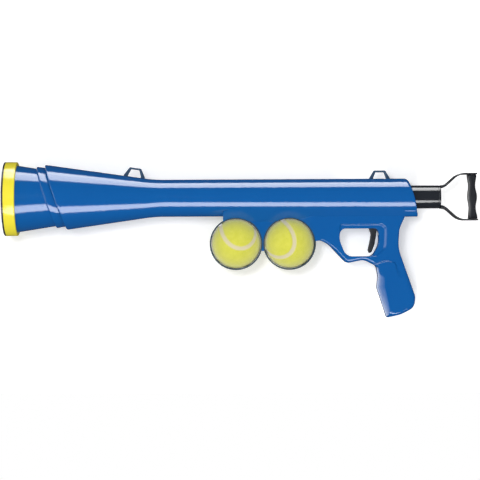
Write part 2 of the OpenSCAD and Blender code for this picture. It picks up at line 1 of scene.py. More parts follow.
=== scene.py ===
"""Dress a spring-powered tennis ball launcher: moulded shells, felt balls, trigger, plunger and pull handle.

The solids of the frame give every place and size. X runs from the muzzle to the handle, Y across the body
and Z up. Shapes are worked out in millimetres and become metres when a mesh is made.
"""

import logging
import math
from collections.abc import Callable, Sequence
from dataclasses import dataclass
from enum import Enum
from functools import lru_cache

import bmesh
import bpy
import numpy as np
from mathutils import Euler, Matrix, Vector


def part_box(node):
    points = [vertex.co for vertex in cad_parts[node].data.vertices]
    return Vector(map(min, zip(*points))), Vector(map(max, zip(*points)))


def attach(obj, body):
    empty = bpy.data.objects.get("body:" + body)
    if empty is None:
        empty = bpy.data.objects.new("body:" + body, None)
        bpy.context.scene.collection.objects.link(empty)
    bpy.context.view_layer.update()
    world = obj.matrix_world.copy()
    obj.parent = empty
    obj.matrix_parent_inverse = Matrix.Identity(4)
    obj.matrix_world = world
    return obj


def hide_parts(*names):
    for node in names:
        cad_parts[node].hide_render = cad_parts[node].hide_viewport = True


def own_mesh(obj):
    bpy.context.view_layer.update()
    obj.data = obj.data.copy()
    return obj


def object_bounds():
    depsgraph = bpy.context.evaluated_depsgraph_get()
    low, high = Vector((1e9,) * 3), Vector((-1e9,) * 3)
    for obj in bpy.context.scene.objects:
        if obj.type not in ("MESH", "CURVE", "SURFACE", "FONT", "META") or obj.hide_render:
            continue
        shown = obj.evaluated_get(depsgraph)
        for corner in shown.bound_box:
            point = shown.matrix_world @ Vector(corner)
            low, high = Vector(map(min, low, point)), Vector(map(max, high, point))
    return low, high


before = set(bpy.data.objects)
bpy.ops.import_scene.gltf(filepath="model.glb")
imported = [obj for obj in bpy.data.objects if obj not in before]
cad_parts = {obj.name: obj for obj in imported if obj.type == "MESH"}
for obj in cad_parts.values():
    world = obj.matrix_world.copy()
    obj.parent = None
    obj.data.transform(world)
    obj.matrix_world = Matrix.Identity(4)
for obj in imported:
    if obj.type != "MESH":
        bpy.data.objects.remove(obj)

CAD_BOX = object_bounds()
MM = 0.001
SEED = 7
log = logging.getLogger("launcher")

Material = bpy.types.Material
Mesh = bpy.types.Mesh
Node = bpy.types.Node
NodeTree = bpy.types.NodeTree
Socket = bpy.types.NodeSocket
Object = bpy.types.Object
Array = np.ndarray
Field = Callable[[Array, Array, Array], Array]
Corners = tuple[tuple[float, float, float], ...]


class Body(Enum):
    """The moving bodies of the launcher, by their names in the frame."""

    SHELL = "body"
    PLUNGER = "plunger"
    TRIGGER = "trigger"
    FRONT_BALL = "ball_front"
    REAR_BALL = "ball_rear"


class Side(Enum):
    """The two halves of the moulded body, by the sign of Y."""

    LEFT = -1
    RIGHT = 1


@lru_cache(maxsize=None)
def node_box(name: str) -> tuple[Vector, Vector]:
    """Return the lowest and highest corner of a solid, in millimetres."""
    low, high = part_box(name)
    return low / MM, high / MM


def in_scene(name: str, data: bpy.types.ID) -> Object:
    """Make an object and link it to the scene.

    Args:
        name: Name of the object.
        data: Its mesh, light or camera.

    Returns:
        The object.
    """
    piece = bpy.data.objects.new(name, data)
    bpy.context.scene.collection.objects.link(piece)
    return piece


def shown(
    name: str, mesh: Mesh, body: Body, nodes: Sequence[str], finish: Material | None = None
) -> Object:
    """Put a finished mesh in the scene, let it ride on its body and stand for its solids.

    Args:
        name: Name of the piece.
        mesh: The mesh, in metres, in its place.
        body: The body that it moves with.
        nodes: The solids that it stands for.
        finish: The material, or None where the mesh has its own.

    Returns:
        The new object.
    """
    piece = in_scene(name, mesh)
    if finish is not None:
        mesh.materials.clear()
        mesh.materials.append(finish)
    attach(piece, body.value)
    if nodes:
        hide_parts(*nodes)
    log.info("%s: %d faces on %s", name, len(mesh.polygons), body.value)
    return piece


def smooth_mesh(name: str, points: Array, faces: Sequence[Sequence[int]], sharp: float = 40.0) -> Mesh:
    """Make a mesh with outward faces, smooth except at sharp edges.

    Args:
        name: Name of the mesh.
        points: Points in millimetres.
        faces: Rows of point numbers.
        sharp: Edges that bend by more than this many degrees stay crisp.

    Returns:
        The mesh, in metres.
    """
    weld = 1e-6
    mesh = bpy.data.meshes.new(name)
    mesh.from_pydata((np.asarray(points) * MM).tolist(), [], [list(map(int, f)) for f in faces])
    work = bmesh.new()
    work.from_mesh(mesh)
    bmesh.ops.remove_doubles(work, verts=work.verts, dist=weld)
    bmesh.ops.recalc_face_normals(work, faces=work.faces)
    work.to_mesh(mesh)
    work.free()
    mesh.shade_smooth()
    mesh.set_sharp_from_angle(angle=math.radians(sharp))
    return mesh


def joined(name: str, meshes: Sequence[Mesh]) -> Mesh:
    """Join several meshes into one and drop the parts.

    Args:
        name: Name of the new mesh.
        meshes: The meshes to join.

    Returns:
        The joined mesh.
    """
    pieces = [in_scene(f"{name}_{i}", mesh) for i, mesh in enumerate(meshes)]
    with bpy.context.temp_override(active_object=pieces[0], selected_editable_objects=pieces):
        bpy.ops.object.join()
    mesh = pieces[0].data
    mesh.name = name
    bpy.data.objects.remove(pieces[0])
    return mesh


def grid_faces(rows: int, columns: int, capped: bool = False) -> list[Sequence[int]]:
    """List the faces of a grid of points whose rows close on themselves.

    Args:
        rows: Rows of points.
        columns: Points in a row.
        capped: Whether the first and the last row are filled too.

    Returns:
        The faces.
    """
    faces: list[Sequence[int]] = [
        (r * columns + c, r * columns + (c + 1) % columns,
         (r + 1) * columns + (c + 1) % columns, (r + 1) * columns + c)
        for r in range(rows - 1) for c in range(columns)
    ]
    if capped:
        faces += [range(columns - 1, -1, -1), range((rows - 1) * columns, rows * columns)]
    return faces


def circle(sides: int, radius: float = 1.0) -> Array:
    """Draw a circle round the origin."""
    turn = np.linspace(0, 2 * math.pi, sides, endpoint=False)
    return np.stack([np.cos(turn), np.sin(turn)], 1) * radius


def turned_mesh(name: str, profile: Array, sides: int = 128, closed: bool = True) -> Mesh:
    """Turn a profile of (x, radius) points round the barrel axis.

    Args:
        name: Name of the mesh.
        profile: Points of the profile, in millimetres.
        sides: Facets round the axis.
        closed: Whether the profile closes on itself, as a ring's does.

    Returns:
        The mesh.
    """
    profile = np.asarray(profile, float)
    if closed:
        profile = np.vstack([profile, profile[:1]])
    across, up = circle(sides).T
    along = np.repeat(profile[:, :1], sides, 1)
    points = np.stack([along, profile[:, 1:] * across, profile[:, 1:] * up], -1)
    return smooth_mesh(name, points.reshape(-1, 3), grid_faces(len(profile), sides))


def round_corners(corners: Sequence[Sequence[float]], steps: int = 6, open_ends: bool = False) -> Array:
    """Draw an outline from its corners, each with its own radius.

    Args:
        corners: Rows of (x, z, radius); a radius of 0 keeps the corner sharp.
        steps: Chords in each arc.
        open_ends: Whether the first and last corner are the ends of an open path.

    Returns:
        The outline's points.
    """
    most, straight = 0.49, 1e-6
    rows = np.asarray(corners, float)
    points: list[Array] = []
    for i, (x, z, r) in enumerate(rows):
        corner = np.array([x, z])
        if r == 0 or (open_ends and i in (0, len(rows) - 1)):
            points.append(corner)
            continue
        before = rows[i - 1, :2] - corner
        after = rows[(i + 1) % len(rows), :2] - corner
        a, b = before / np.linalg.norm(before), after / np.linalg.norm(after)
        if np.linalg.norm(a + b) < straight:
            points.append(corner)
            continue
        half = math.acos(float(np.clip(a @ b, -1, 1))) / 2
        reach = min(r / math.tan(half), most * min(np.linalg.norm(before), np.linalg.norm(after)))
        radius = reach * math.tan(half)
        middle = (a + b) / np.linalg.norm(a + b)
        centre = corner + middle * radius / math.sin(half)
        start = corner + a * reach - centre
        first = math.atan2(start[1], start[0])
        sweep = (math.pi - 2 * half) * math.copysign(1, b[0] * a[1] - b[1] * a[0])
        for k in range(steps + 1):
            turn = first + sweep * k / steps
            points.append(centre + radius * np.array([math.cos(turn), math.sin(turn)]))
    return np.array(points)


def inset(points: Array, amount: float) -> Array:
    """Move an anticlockwise outline inwards.

    Args:
        points: The outline's points.
        amount: How far to move it, in millimetres.

    Returns:
        The moved points.
    """
    def left(v: Array) -> Array:
        """Turn vectors a quarter turn to the left and make them unit length."""
        v = v / np.linalg.norm(v, axis=1)[:, None]
        return np.stack([-v[:, 1], v[:, 0]], 1)

    before = left(points - np.roll(points, 1, 0))
    after = left(np.roll(points, -1, 0) - points)
    return points + amount * (before + after) / (1 + (before * after).sum(1))[:, None]


def plate_mesh(name: str, outline: Array, low: float, high: float, edge: float, steps: int = 4) -> Mesh:
    """Give a side-view outline a width across the body, with rounded edges.

    Args:
        name: Name of the mesh.
        outline: Anticlockwise (x, z) points.
        low: Lower Y of the plate.
        high: Upper Y of the plate.
        edge: Radius of the edges.
        steps: Chords in an edge's round.

    Returns:
        The mesh.
    """
    turn = np.linspace(0, math.pi / 2, steps + 1)
    rise = [(edge * (1 - math.sin(t)), edge * (1 - math.cos(t))) for t in turn]
    rows = [(depth, low + up) for depth, up in rise] + [(depth, high - up) for depth, up in reversed(rise)]
    count = len(outline)
    points = np.vstack(
        [np.column_stack([inset(outline, depth), np.full(count, y)])[:, [0, 2, 1]] for depth, y in rows]
    )
    return smooth_mesh(name, points, grid_faces(len(rows), count, capped=True))


def meet(a: Array, b: Array, r: float | Array) -> Array:
    """Intersect two distance fields, with a rounded edge."""
    return np.minimum(-r, np.maximum(a, b)) + np.hypot(np.maximum(r + a, 0), np.maximum(r + b, 0))


def fuse(a: Array, b: Array, r: float) -> Array:
    """Unite two distance fields, with a fillet."""
    return np.maximum(r, np.minimum(a, b)) - np.hypot(np.maximum(r - a, 0), np.maximum(r - b, 0))


def ease(value: Array, low: float, high: float) -> Array:
    """Rise smoothly from 0 at low to 1 at high."""
    t = np.clip((value - low) / (high - low), 0, 1)
    return t * t * (3 - 2 * t)


def box_field(x: Array, y: Array, z: Array, low: Sequence[float], high: Sequence[float]) -> Array:
    """Return the distance field of a block, negative inside."""
    sides = [np.abs(v - (a + b) / 2) - (b - a) / 2 for v, a, b in zip((x, y, z), low, high)]
    return np.maximum(np.maximum(sides[0], sides[1]), sides[2])


def outline_field(points: Array, x: Array, z: Array) -> Array:
    """Return the signed distance to a closed outline, negative inside.

    A place well outside the outline's box gets its distance to the box, which is quicker to find.

    Args:
        points: The outline's (x, z) points.
        x, z: Places along X and Z.

    Returns:
        The distances.
    """
    far = 4.0
    x, z = np.broadcast_arrays(x, z)
    low, high = points.min(0), points.max(0)
    aside = np.maximum(np.maximum(low[0] - x, x - high[0]), 0)
    away = np.hypot(aside, np.maximum(np.maximum(low[1] - z, z - high[1]), 0))
    near = away < far
    x, z = x[near], z[near]
    nearest = np.full(x.shape, np.inf)
    inside = np.zeros(x.shape, bool)
    for a, b in zip(points, np.roll(points, -1, 0)):
        edge = b - a
        along = np.clip(((x - a[0]) * edge[0] + (z - a[1]) * edge[1]) / (edge @ edge), 0, 1)
        nearest = np.minimum(nearest, (x - a[0] - edge[0] * along) ** 2 + (z - a[1] - edge[1] * along) ** 2)
        if edge[1] != 0:
            inside ^= ((a[1] > z) != (b[1] > z)) & (x < a[0] + edge[0] * (z - a[1]) / edge[1])
    away[near] = np.where(inside, -1, 1) * np.sqrt(nearest)
    return away


def slopes(field: Field, points: Array, reach: float = 0.02) -> Array:
    """Return the unit outward normals of a field at some points.

    Args:
        field: The distance field.
        points: The points.
        reach: The distance over which it is measured.

    Returns:
        The normals.
    """
    start = field(*points.T)
    rise = np.stack([field(*(points + step).T) - start for step in np.eye(3) * reach], 1)
    return rise / np.maximum(np.linalg.norm(rise, axis=1), 1e-9)[:, None]


def net_surface(field: Field, axes: Sequence[Array]) -> tuple[Array, Array]:
    """Stretch a net of quads over the zero level of a field, keeping its creases.

    Each cell that the surface crosses gets one point: the one nearest to the planes that touch the surface
    where it cuts the cell's edges.

    Args:
        field: The distance field, negative inside.
        axes: The grid's places along X, Y and Z.

    Returns:
        Points and quads.
    """
    hold = 0.05
    values = field(axes[0][:, None, None], axes[1][None, :, None], axes[2][None, None, :])
    inside = values < 0
    shape = np.array(values.shape) - 1
    hits, quads = [], []
    for d in range(3):
        u, v = np.eye(3, dtype=int)[[(d + 1) % 3, (d + 2) % 3]]
        along = np.moveaxis(inside, d, 0)
        edges = np.argwhere(np.moveaxis(along[:-1] != along[1:], 0, d))
        edges = edges[(edges @ u > 0) & (edges @ v > 0) & (edges @ u < shape @ u) & (edges @ v < shape @ v)]
        ends = edges + np.eye(3, dtype=int)[d]
        low, high = values[tuple(edges.T)], values[tuple(ends.T)]
        spots = np.stack([a[edges[:, k]] for k, a in enumerate(axes)], 1).astype(float)
        spots[:, d] += (axes[d][ends[:, d]] - axes[d][edges[:, d]]) * low / (low - high)
        cells = np.stack([edges, edges - u, edges - u - v, edges - v], 1)
        quads.append(np.where((low < 0)[:, None, None], cells, cells[:, ::-1]))
        hits.append((spots, cells))
    spots = np.vstack([h[0] for h in hits])
    cells = np.vstack([h[1] for h in hits])
    stride = np.array([shape[1] * shape[2], shape[2], 1])
    flat = cells @ stride
    used, owner = np.unique(flat.ravel(), return_inverse=True)
    owner = owner.reshape(flat.shape)
    normals = slopes(field, spots)
    count = len(used)

    def gather(amounts: Array) -> Array:
        """Add up what each cell's edges give it."""
        return sum(np.bincount(owner[:, k], weights=amounts, minlength=count) for k in range(4))

    number = gather(np.ones(len(spots)))
    middle = np.stack([gather(spots[:, k]) for k in range(3)], 1) / number[:, None]
    offset = (normals * spots).sum(1)
    square = np.stack([
        np.stack([gather(normals[:, i] * normals[:, j]) for j in range(3)], 1) for i in range(3)], 1)
    pull = np.stack([gather(normals[:, i] * offset) for i in range(3)], 1)
    pull -= np.einsum("nij,nj->ni", square, middle)
    square += hold * np.eye(3)
    points = middle + np.linalg.solve(square, pull[:, :, None])[:, :, 0]
    corner = np.stack(np.unravel_index(used, shape), 1)
    low = np.stack([a[corner[:, k]] for k, a in enumerate(axes)], 1)
    high = np.stack([a[corner[:, k] + 1] for k, a in enumerate(axes)], 1)
    return np.clip(points, low, high), np.searchsorted(used, np.vstack(quads) @ stride)


def net_mesh(name: str, field: Field, axes: Sequence[Array]) -> Mesh:
    """Make a mesh of a field's surface, shaded with the field's own normals.

    Args:
        name: Name of the mesh.
        field: The distance field.
        axes: The grid's places along X, Y and Z.

    Returns:
        The mesh, in metres.
    """
    bend, fold, lean = math.cos(math.radians(6)), math.cos(math.radians(30)), 0.25
    points, quads = net_surface(field, axes)
    mesh = bpy.data.meshes.new(name)
    mesh.from_pydata((points * MM).tolist(), [], quads.tolist())
    mesh.shade_smooth()
    middles = np.repeat(points[quads].mean(1)[:, None], 4, 1)
    face_normals = np.repeat(slopes(field, middles[:, 0])[:, None], 4, 1)
    normals = slopes(field, points)[quads]
    bent = (normals * face_normals).sum(2) < bend
    normals[bent] = slopes(field, points[quads][bent] * (1 - lean) + middles[bent] * lean)
    folded = (normals * face_normals).sum(2) < fold
    normals[folded] = face_normals[folded]
    mesh.normals_split_custom_set(normals.reshape(-1, 3).tolist())
    return mesh


def shaded(mesh: Mesh, amount: float) -> Mesh:
    """Mark how much painted shade and extra roughness a mesh gets, from 0 to 1, as its attribute "shade"."""
    mesh.attributes.new("shade", "FLOAT", "POINT").data.foreach_set("value", [amount] * len(mesh.vertices))
    return mesh


@dataclass(frozen=True)
class MouldedBody:
    """The two blue shells: barrel with its flare, ball hoops, trigger frame, pistol grip and strap loops."""

    barrel_r: float = 23.5
    wall: float = 2.5
    lip_x: float = 65.5
    lip_r: float = 41.2
    lip_slant: float = 18.5
    flare_len: float = 124.0
    flare_blend: float = 170.0
    rear_slant: float = 21.0
    rear_cut: float = 4.7
    root_back: float = 53.8
    guard_len: float = 75.5
    frame_half: float = 12.0
    grip_half: float = 14.0
    hoop_half: float = 8.0
    hoop_wall: float = 1.8
    hoop_room: float = 0.05
    skirt_angle: float = 34.0
    tube_room: float = 0.6
    seat_y: float = 5.0
    parting: float = 0.03
    cell: float = 1.1
    steps: int = 6
    screws: tuple[tuple[float, float], ...] = (
        (-65.5, -16.5), (-31.5, -7.5), (17.5, -43), (14.5, -80.5), (36, -104), (20, -117))
    frame_corners: Corners = (
        (-75.5, -29.4, 0), (-62, -34.3, 28), (-38, -60.1, 9), (-16, -55.5, 16), (-0.4, -63.5, 6),
        (1.9, -77, 20), (0, -90.3, 7), (12.4, -129, 2.5), (30.5, -124.8, 40), (47.4, -116.2, 15),
        (49, -102.5, 16), (27.5, -41, 45), (29.2, -16.5, 25), (36.2, -1.3, 1.5), (52.3, -1.3, 0.8),
        (52.3, 2, 2), (50.2, 8, 0), (37.5, 8, 0), (37.5, 17.5, 0), (-75.5, 17.5, 0))
    window_corners: Corners = (
        (-38.5, -51.3, 13), (-5.4, -51.3, 9), (4.4, -34.5, 30), (1.7, -16, 5), (-44.5, -16, 8), (-47.3, -28.5, 26))
    recess_corners: Corners = (
        (-38, -52, 10), (0, -52, 4), (13.2, -42, 14), (14.2, -14, 9), (7, -9.6, 6), (-47, -9.6, 4), (-47, -30, 4))
    panel_corners: Corners = (
        (-8, -62, 6), (-8, -140, 0), (70, -140, 0), (70, -70, 0), (28, -69, 8), (25.5, -58.5, 10), (12, -55.8, 14))

    @property
    def throat_x(self) -> float:
        """Where the flare becomes the straight barrel."""
        return self.lip_x + self.flare_len

    @property
    def rear_x(self) -> float:
        """The end of the barrel."""
        return node_box("left_shell")[1].x

    @property
    def root(self) -> Array:
        """The root of the grip under the barrel, from which the outlines are measured."""
        return np.array([self.rear_x - self.root_back, -self.barrel_r])

    def ball_centres(self) -> list[Vector]:
        """Return the middle of each ball, in millimetres."""
        return [(low + high) / 2 for low, high in map(node_box, ("ball_front", "ball_rear"))]

    @property
    def hoop_in(self) -> float:
        """Inner radius of a hoop."""
        low, high = node_box("ball_front")
        return (high.x - low.x) / 2 + self.hoop_room

    def placed(self, corners: Sequence[Sequence[float]]) -> Array:
        """Draw an outline that is measured from the root of the grip."""
        return round_corners(corners, self.steps) + self.root

    def screw_places(self) -> Array:
        """Return where the screws cross the side view, the first between the balls.

        Returns:
            The (x, z) places.
        """
        front, rear = self.ball_centres()
        rack_rise = 21
        rack = np.array([(front.x + rear.x) / 2, front.z + rack_rise])
        return np.vstack([rack, np.array(self.screws) + self.root])

    def radius(self, x: Array) -> Array:
        """Return the barrel's outer radius along X.

        Args:
            x: Places along X.

        Returns:
            The radii.
        """
        slope = (self.lip_r - self.barrel_r) / self.flare_len
        reach = self.flare_blend * math.tan(math.atan(slope) / 2)
        line = self.barrel_r + (self.throat_x - x) * slope
        bend = self.barrel_r + np.maximum(self.throat_x + reach - x, 0) ** 2 / (2 * self.flare_blend)
        return np.where(x < self.throat_x - reach, line, bend)

    def barrel(self, x: Array, rho: Array, z: Array, shrink: float) -> Array:
        """Return the field of the barrel, or of its inside.

        Args:
            x: Places along X.
            rho: Distances from the axis.
            z: Places along Z.
            shrink: How far the surface lies inside the outer one.

        Returns:
            The field.
        """
        low_edge, top_edge, front_edge, rear_blend = 1.2, 3.0, 1.6, 12.0
        lip, rear = math.radians(self.lip_slant), math.radians(self.rear_slant)
        side = rho - self.radius(x) + shrink
        front = -(x - self.lip_x) * math.cos(lip) - z * math.sin(lip)
        slant = (x - self.rear_x + self.rear_cut + shrink) * math.cos(rear) + z * math.sin(rear)
        back = meet(slant, x - self.rear_x + shrink, rear_blend)
        edge = low_edge + top_edge * ease(z, -self.barrel_r / 2, self.barrel_r)
        tube = meet(side, back, edge)
        return tube if shrink else meet(tube, front, front_edge)

    def past_root(self, x: Array, start: float, end: float) -> Array:
        """Rise smoothly from 0 to 1 along X, between two places measured from the root of the grip."""
        return ease(x, self.root[0] + start, self.root[0] + end)

    def half_width(self, x: Array, z: Array) -> Array:
        """Return how far the trigger frame and the grip reach to each side.

        Args:
            x, z: Places along X and Z.

        Returns:
            Half widths over the side view.
        """
        recess_depth, recess_rise, recess_soft, recess_run = 1.7, 2.2, 2.5, (2, 12)
        panel_rise, panel_soft, panel_run = 2.4, 9, (22, 30)
        recess = outline_field(self.placed(self.recess_corners), x, z)
        slope = recess_rise + recess_soft * self.past_root(x, *recess_run)
        panel = outline_field(self.placed(self.panel_corners), x, z)
        soft = panel_rise + panel_soft * self.past_root(x, *panel_run)
        return (self.frame_half - recess_depth * ease(-recess / slope, 0, 1)
                + (self.grip_half - self.frame_half) * ease(-panel / soft, 0, 1))

    def skirt(self, z: Array, half: float | Array) -> Array:
        """Return the half width of the slope that runs from the barrel's flank down to a plate.

        Args:
            z: Places along Z.
            half: Half width of the plate below.

        Returns:
            Half widths along Z, flush with the barrel above the slope.
        """
        angle = math.radians(self.skirt_angle)
        flank = np.sqrt(np.maximum(self.barrel_r ** 2 - z ** 2, 0))
        tangent_z = -self.barrel_r * math.sin(angle)
        line = self.barrel_r * math.cos(angle) + (z - tangent_z) * math.tan(angle)
        return np.maximum(np.where(z > tangent_z, np.minimum(line, flank), line), half)

    def lower(self, x: Array, y: Array, z: Array) -> tuple[Array, Array]:
        """Return the fields of the trigger frame with the grip, and of its inside.

        Args:
            x, y, z: Places along the axes.

        Returns:
            The outer and the inner field.
        """
        window_edge, guard_low, guard_high, guard_back, wide = 0.7, -95.0, -67.5, 7.0, 99
        plain_r, front_r, front_run, front_drop = 2.8, 9.2, (8, 24), (80, 114)
        guard_r, guard_run, guard_drop, heel_r, heel_drop = 1.9, (-6, 4), (58, 66), 2.0, (84, 110)
        outline = outline_field(self.placed(self.frame_corners), x, z)
        window = outline_field(self.placed(self.window_corners), x, z)
        width = self.skirt(z, self.half_width(x, z))
        front = (1 - self.past_root(x, *front_run)) * ease(-z, *front_drop)
        under = (1 - self.past_root(x, *guard_run)) * ease(-z, *guard_drop)
        edge = plain_r + front_r * front + guard_r * under + heel_r * ease(-z, *heel_drop) * (1 - front)
        plate = meet(outline, y - width, edge)
        outer = meet(plate, -window, window_edge)
        inner = np.maximum(plate, -window) + self.wall
        guard = box_field(x, y, z, (0, -wide, guard_low), (self.root[0] + guard_back, wide, guard_high))
        return outer, np.maximum(inner, -guard)

    def rack(self, x: Array, y: Array, z: Array) -> Array:
        """Return the field of the web that joins the ball hoops to the barrel.

        Args:
            x, y, z: Places along the axes.

        Returns:
            The field.
        """
        front, rear = self.ball_centres()
        hoop_out = self.hoop_in + self.hoop_wall
        tip, tip_drop, web_drop, lap, lap_rise = 16.4, 0.8, 9.5, 6.0, 3.5
        boss_r, boss_blend, widen_from, widen_to, core_edge = 44.0, 38.0, 34, 4, 1.0
        guard_x = self.root[0] - self.guard_len
        corners = [
            (front.x - tip, front.z + math.sqrt(hoop_out ** 2 - tip ** 2) - tip_drop), (front.x, front.z),
            ((front.x + rear.x) / 2, front.z - web_drop), (rear.x, rear.z), (guard_x + lap, rear.z + lap_rise),
            (guard_x + lap, 0), (front.x - tip, 0)]
        rings = [np.hypot(x - c.x, z - c.z) for c in (front, rear)]
        web = np.maximum(outline_field(np.array(corners), x, z), self.hoop_in + self.hoop_wall / 2
                         - np.minimum(rings[0], rings[1]))
        boss = fuse(fuse(rings[0] - boss_r, rings[1] - boss_r, boss_blend), guard_x - x, boss_blend)
        wider = ease(x, guard_x - widen_from, guard_x - widen_to)
        half = self.hoop_half + (self.frame_half - self.hoop_half) * wider
        core = meet(web, y - half, core_edge)
        flared = np.maximum(np.maximum(web, boss), y - self.skirt(z, half))
        return np.minimum(core, flared)

    def field(self, x: Array, y: Array, z: Array, side: Side) -> Array:
        """Return the field of one half of the body.

        Args:
            x, y, z: Places along the axes, with y from 0 at the parting plane.
            side: Which half; the right one has the screw holes.

        Returns:
            The field.
        """
        stop_r, stop_x, stop_half, head_r, slot_half = 19.6, 145.0, 2.0, 3.3, 4.5
        slots = ((-12, -17.5), (13.5, -13)), ((-3.5, -50.1), (12.5, -13))
        tube_r = node_box("pull_tube")[1].z
        rho = np.hypot(y, z)
        frame_out, frame_in = self.lower(x, y, z)
        outer = np.minimum(self.barrel(x, rho, z, 0), np.minimum(frame_out, self.rack(x, y, z)))
        stop = np.maximum(np.abs(x - stop_x) - stop_half, stop_r - rho)
        bore = np.maximum(self.barrel(x, rho, z, self.wall), -stop)
        inner = np.minimum(bore, np.maximum(frame_in, self.barrel_r - rho))
        inner = np.minimum(inner, np.maximum(rho - tube_r - self.tube_room, self.throat_x - x))
        rx, rz = self.root
        for (x0, z0), (x1, z1) in slots:
            slot = box_field(x, y, z, (rx + x0, -slot_half, rz + z0), (rx + x1, slot_half, rz + z1))
            inner = np.minimum(inner, slot)
        if side is Side.RIGHT:
            for sx, sz in self.screw_places():
                inner = np.minimum(inner, np.maximum(np.hypot(x - sx, z - sz) - head_r, self.seat_y - y))
        return np.maximum(outer, -inner)

    def axes(self) -> list[Array]:
        """Return the grid's places: fine where the shape changes, coarse along the plain barrel.

        Returns:
            The places along X, Y and Z.
        """
        low, high = node_box("left_shell")
        margin, lip_len, hoop_reach, grip_reach = 3, 18, 40, 28
        fine, coarse, flank = self.cell, 3 * self.cell, 1.4 * self.cell

        def run(stops: Sequence[tuple[float, float]]) -> Array:
            """Divide a range into stretches, each with its own step.

            Args:
                stops: Where each stretch starts, and its step.

            Returns:
                The places.
            """
            places = [np.linspace(a, b, max(2, round((b - a) / step)), endpoint=False)
                      for (a, step), (b, _) in zip(stops, stops[1:])]
            return np.concatenate(places + [np.array([stops[-1][0]])])

        front = self.ball_centres()[0].x - hoop_reach
        return [
            run([(low.x - margin, fine), (self.lip_x + lip_len, coarse), (front, fine), (high.x + margin, fine)]),
            run([(-fine / 2, fine), (grip_reach, flank), (self.lip_r + margin, fine)]),
            run([(low.z - margin, fine), (self.lip_r + margin, fine)]),
        ]

    def shell_mesh(self, side: Side) -> Mesh:
        """Mould one half of the body.

        Args:
            side: Which half.

        Returns:
            The mesh.
        """
        def half(x: Array, y: Array, z: Array) -> Array:
            """Return the field of this half, cut off at the parting plane."""
            return np.maximum(self.field(x, np.abs(y), z, side), self.parting - side.value * y)

        along, across, up = self.axes()
        across = across if side is Side.RIGHT else -across[::-1]
        return net_mesh(f"{side.name.lower()}_moulding", half, [along, across, up])

    def hoop_mesh(self, centre: Vector, side: Side) -> Mesh:
        """Make one half of a hoop round a ball.

        Args:
            centre: The ball's middle.
            side: Which half.

        Returns:
            The mesh.
        """
        rim, edge, sides = 0.4, 0.5, 96
        inner, outer = self.hoop_in, self.hoop_in + self.hoop_wall
        start, face = self.parting, self.hoop_half + rim
        profile = round_corners([(inner, start, 0), (outer, start, 0), (outer, face, edge), (inner, face, edge)], 3)
        across, up = circle(sides).T
        rows = [np.stack([centre.x + r * across, np.full(sides, side.value * y), centre.z + r * up], 1)
                for r, y in np.vstack([profile, profile[:1]])]
        return smooth_mesh("hoop", np.vstack(rows), grid_faces(len(rows), sides))

    def loop_mesh(self, x: float, rise: float, side: Side) -> Mesh:
        """Make one half of a strap loop on top of the barrel.

        Args:
            x: Its middle along X.
            rise: How far it stands off the barrel.
            side: Which half.

        Returns:
            The mesh.
        """
        window_h, half, bar, foot, lean, draw, sink, half_w = 7.9, 6.7, 2.4, 4.3, 1.5, 1.9, 3.0, 3.0
        round_r, sill_r, head_r, edge, probe = 2.0, 1, 1.2, 0.7, 1.0
        base, top = half + bar + foot, half + bar - draw
        corners = [
            (-base, -sink, 0), (-half - lean, -sink, 0), (-half - lean, 0, sill_r), (lean - half, window_h, head_r),
            (half - lean, window_h, head_r), (half + lean, 0, sill_r), (half + lean, -sink, 0), (base, -sink, 0),
            (base, 0, round_r), (top, window_h + bar, round_r), (-top, window_h + bar, round_r), (-base, 0, round_r)]
        outline = round_corners(corners, 4)
        slope = float(self.radius(np.array(x + probe)) - self.radius(np.array(x - probe))) / (2 * probe)
        turn = math.atan(slope)
        spun = outline @ np.array([[math.cos(turn), math.sin(turn)], [-math.sin(turn), math.cos(turn)]])
        spun += np.array([x, float(self.radius(np.array(x))) + rise])
        low, high = sorted((0.0, side.value * half_w))
        return plate_mesh("strap_loop", spun, low, high, edge, 3)

    def dress(self, finish: Material) -> None:
        """Make both halves and put them in the scene.

        Args:
            finish: The blue plastic.
        """
        # The hoops, and a little less the strap loops, get painted shade: their blue darkens as if they lay in
        # shade.
        front_back, front_rise, rear_back, hoop_painted_shade, loop_painted_shade = 25.4, 1.3, 48.9, 1.0, 0.8
        loops = (self.throat_x - front_back, front_rise), (self.rear_x - rear_back, 0.0)
        for side in Side:
            parts = [shaded(self.shell_mesh(side), 0.0)]
            parts += [shaded(self.hoop_mesh(c, side), hoop_painted_shade) for c in self.ball_centres()]
            parts += [shaded(self.loop_mesh(x, rise, side), loop_painted_shade) for x, rise in loops]
            name = f"{side.name.lower()}_shell"
            shown(f"{name}_moulding", joined(name, parts), Body.SHELL, [name], finish)


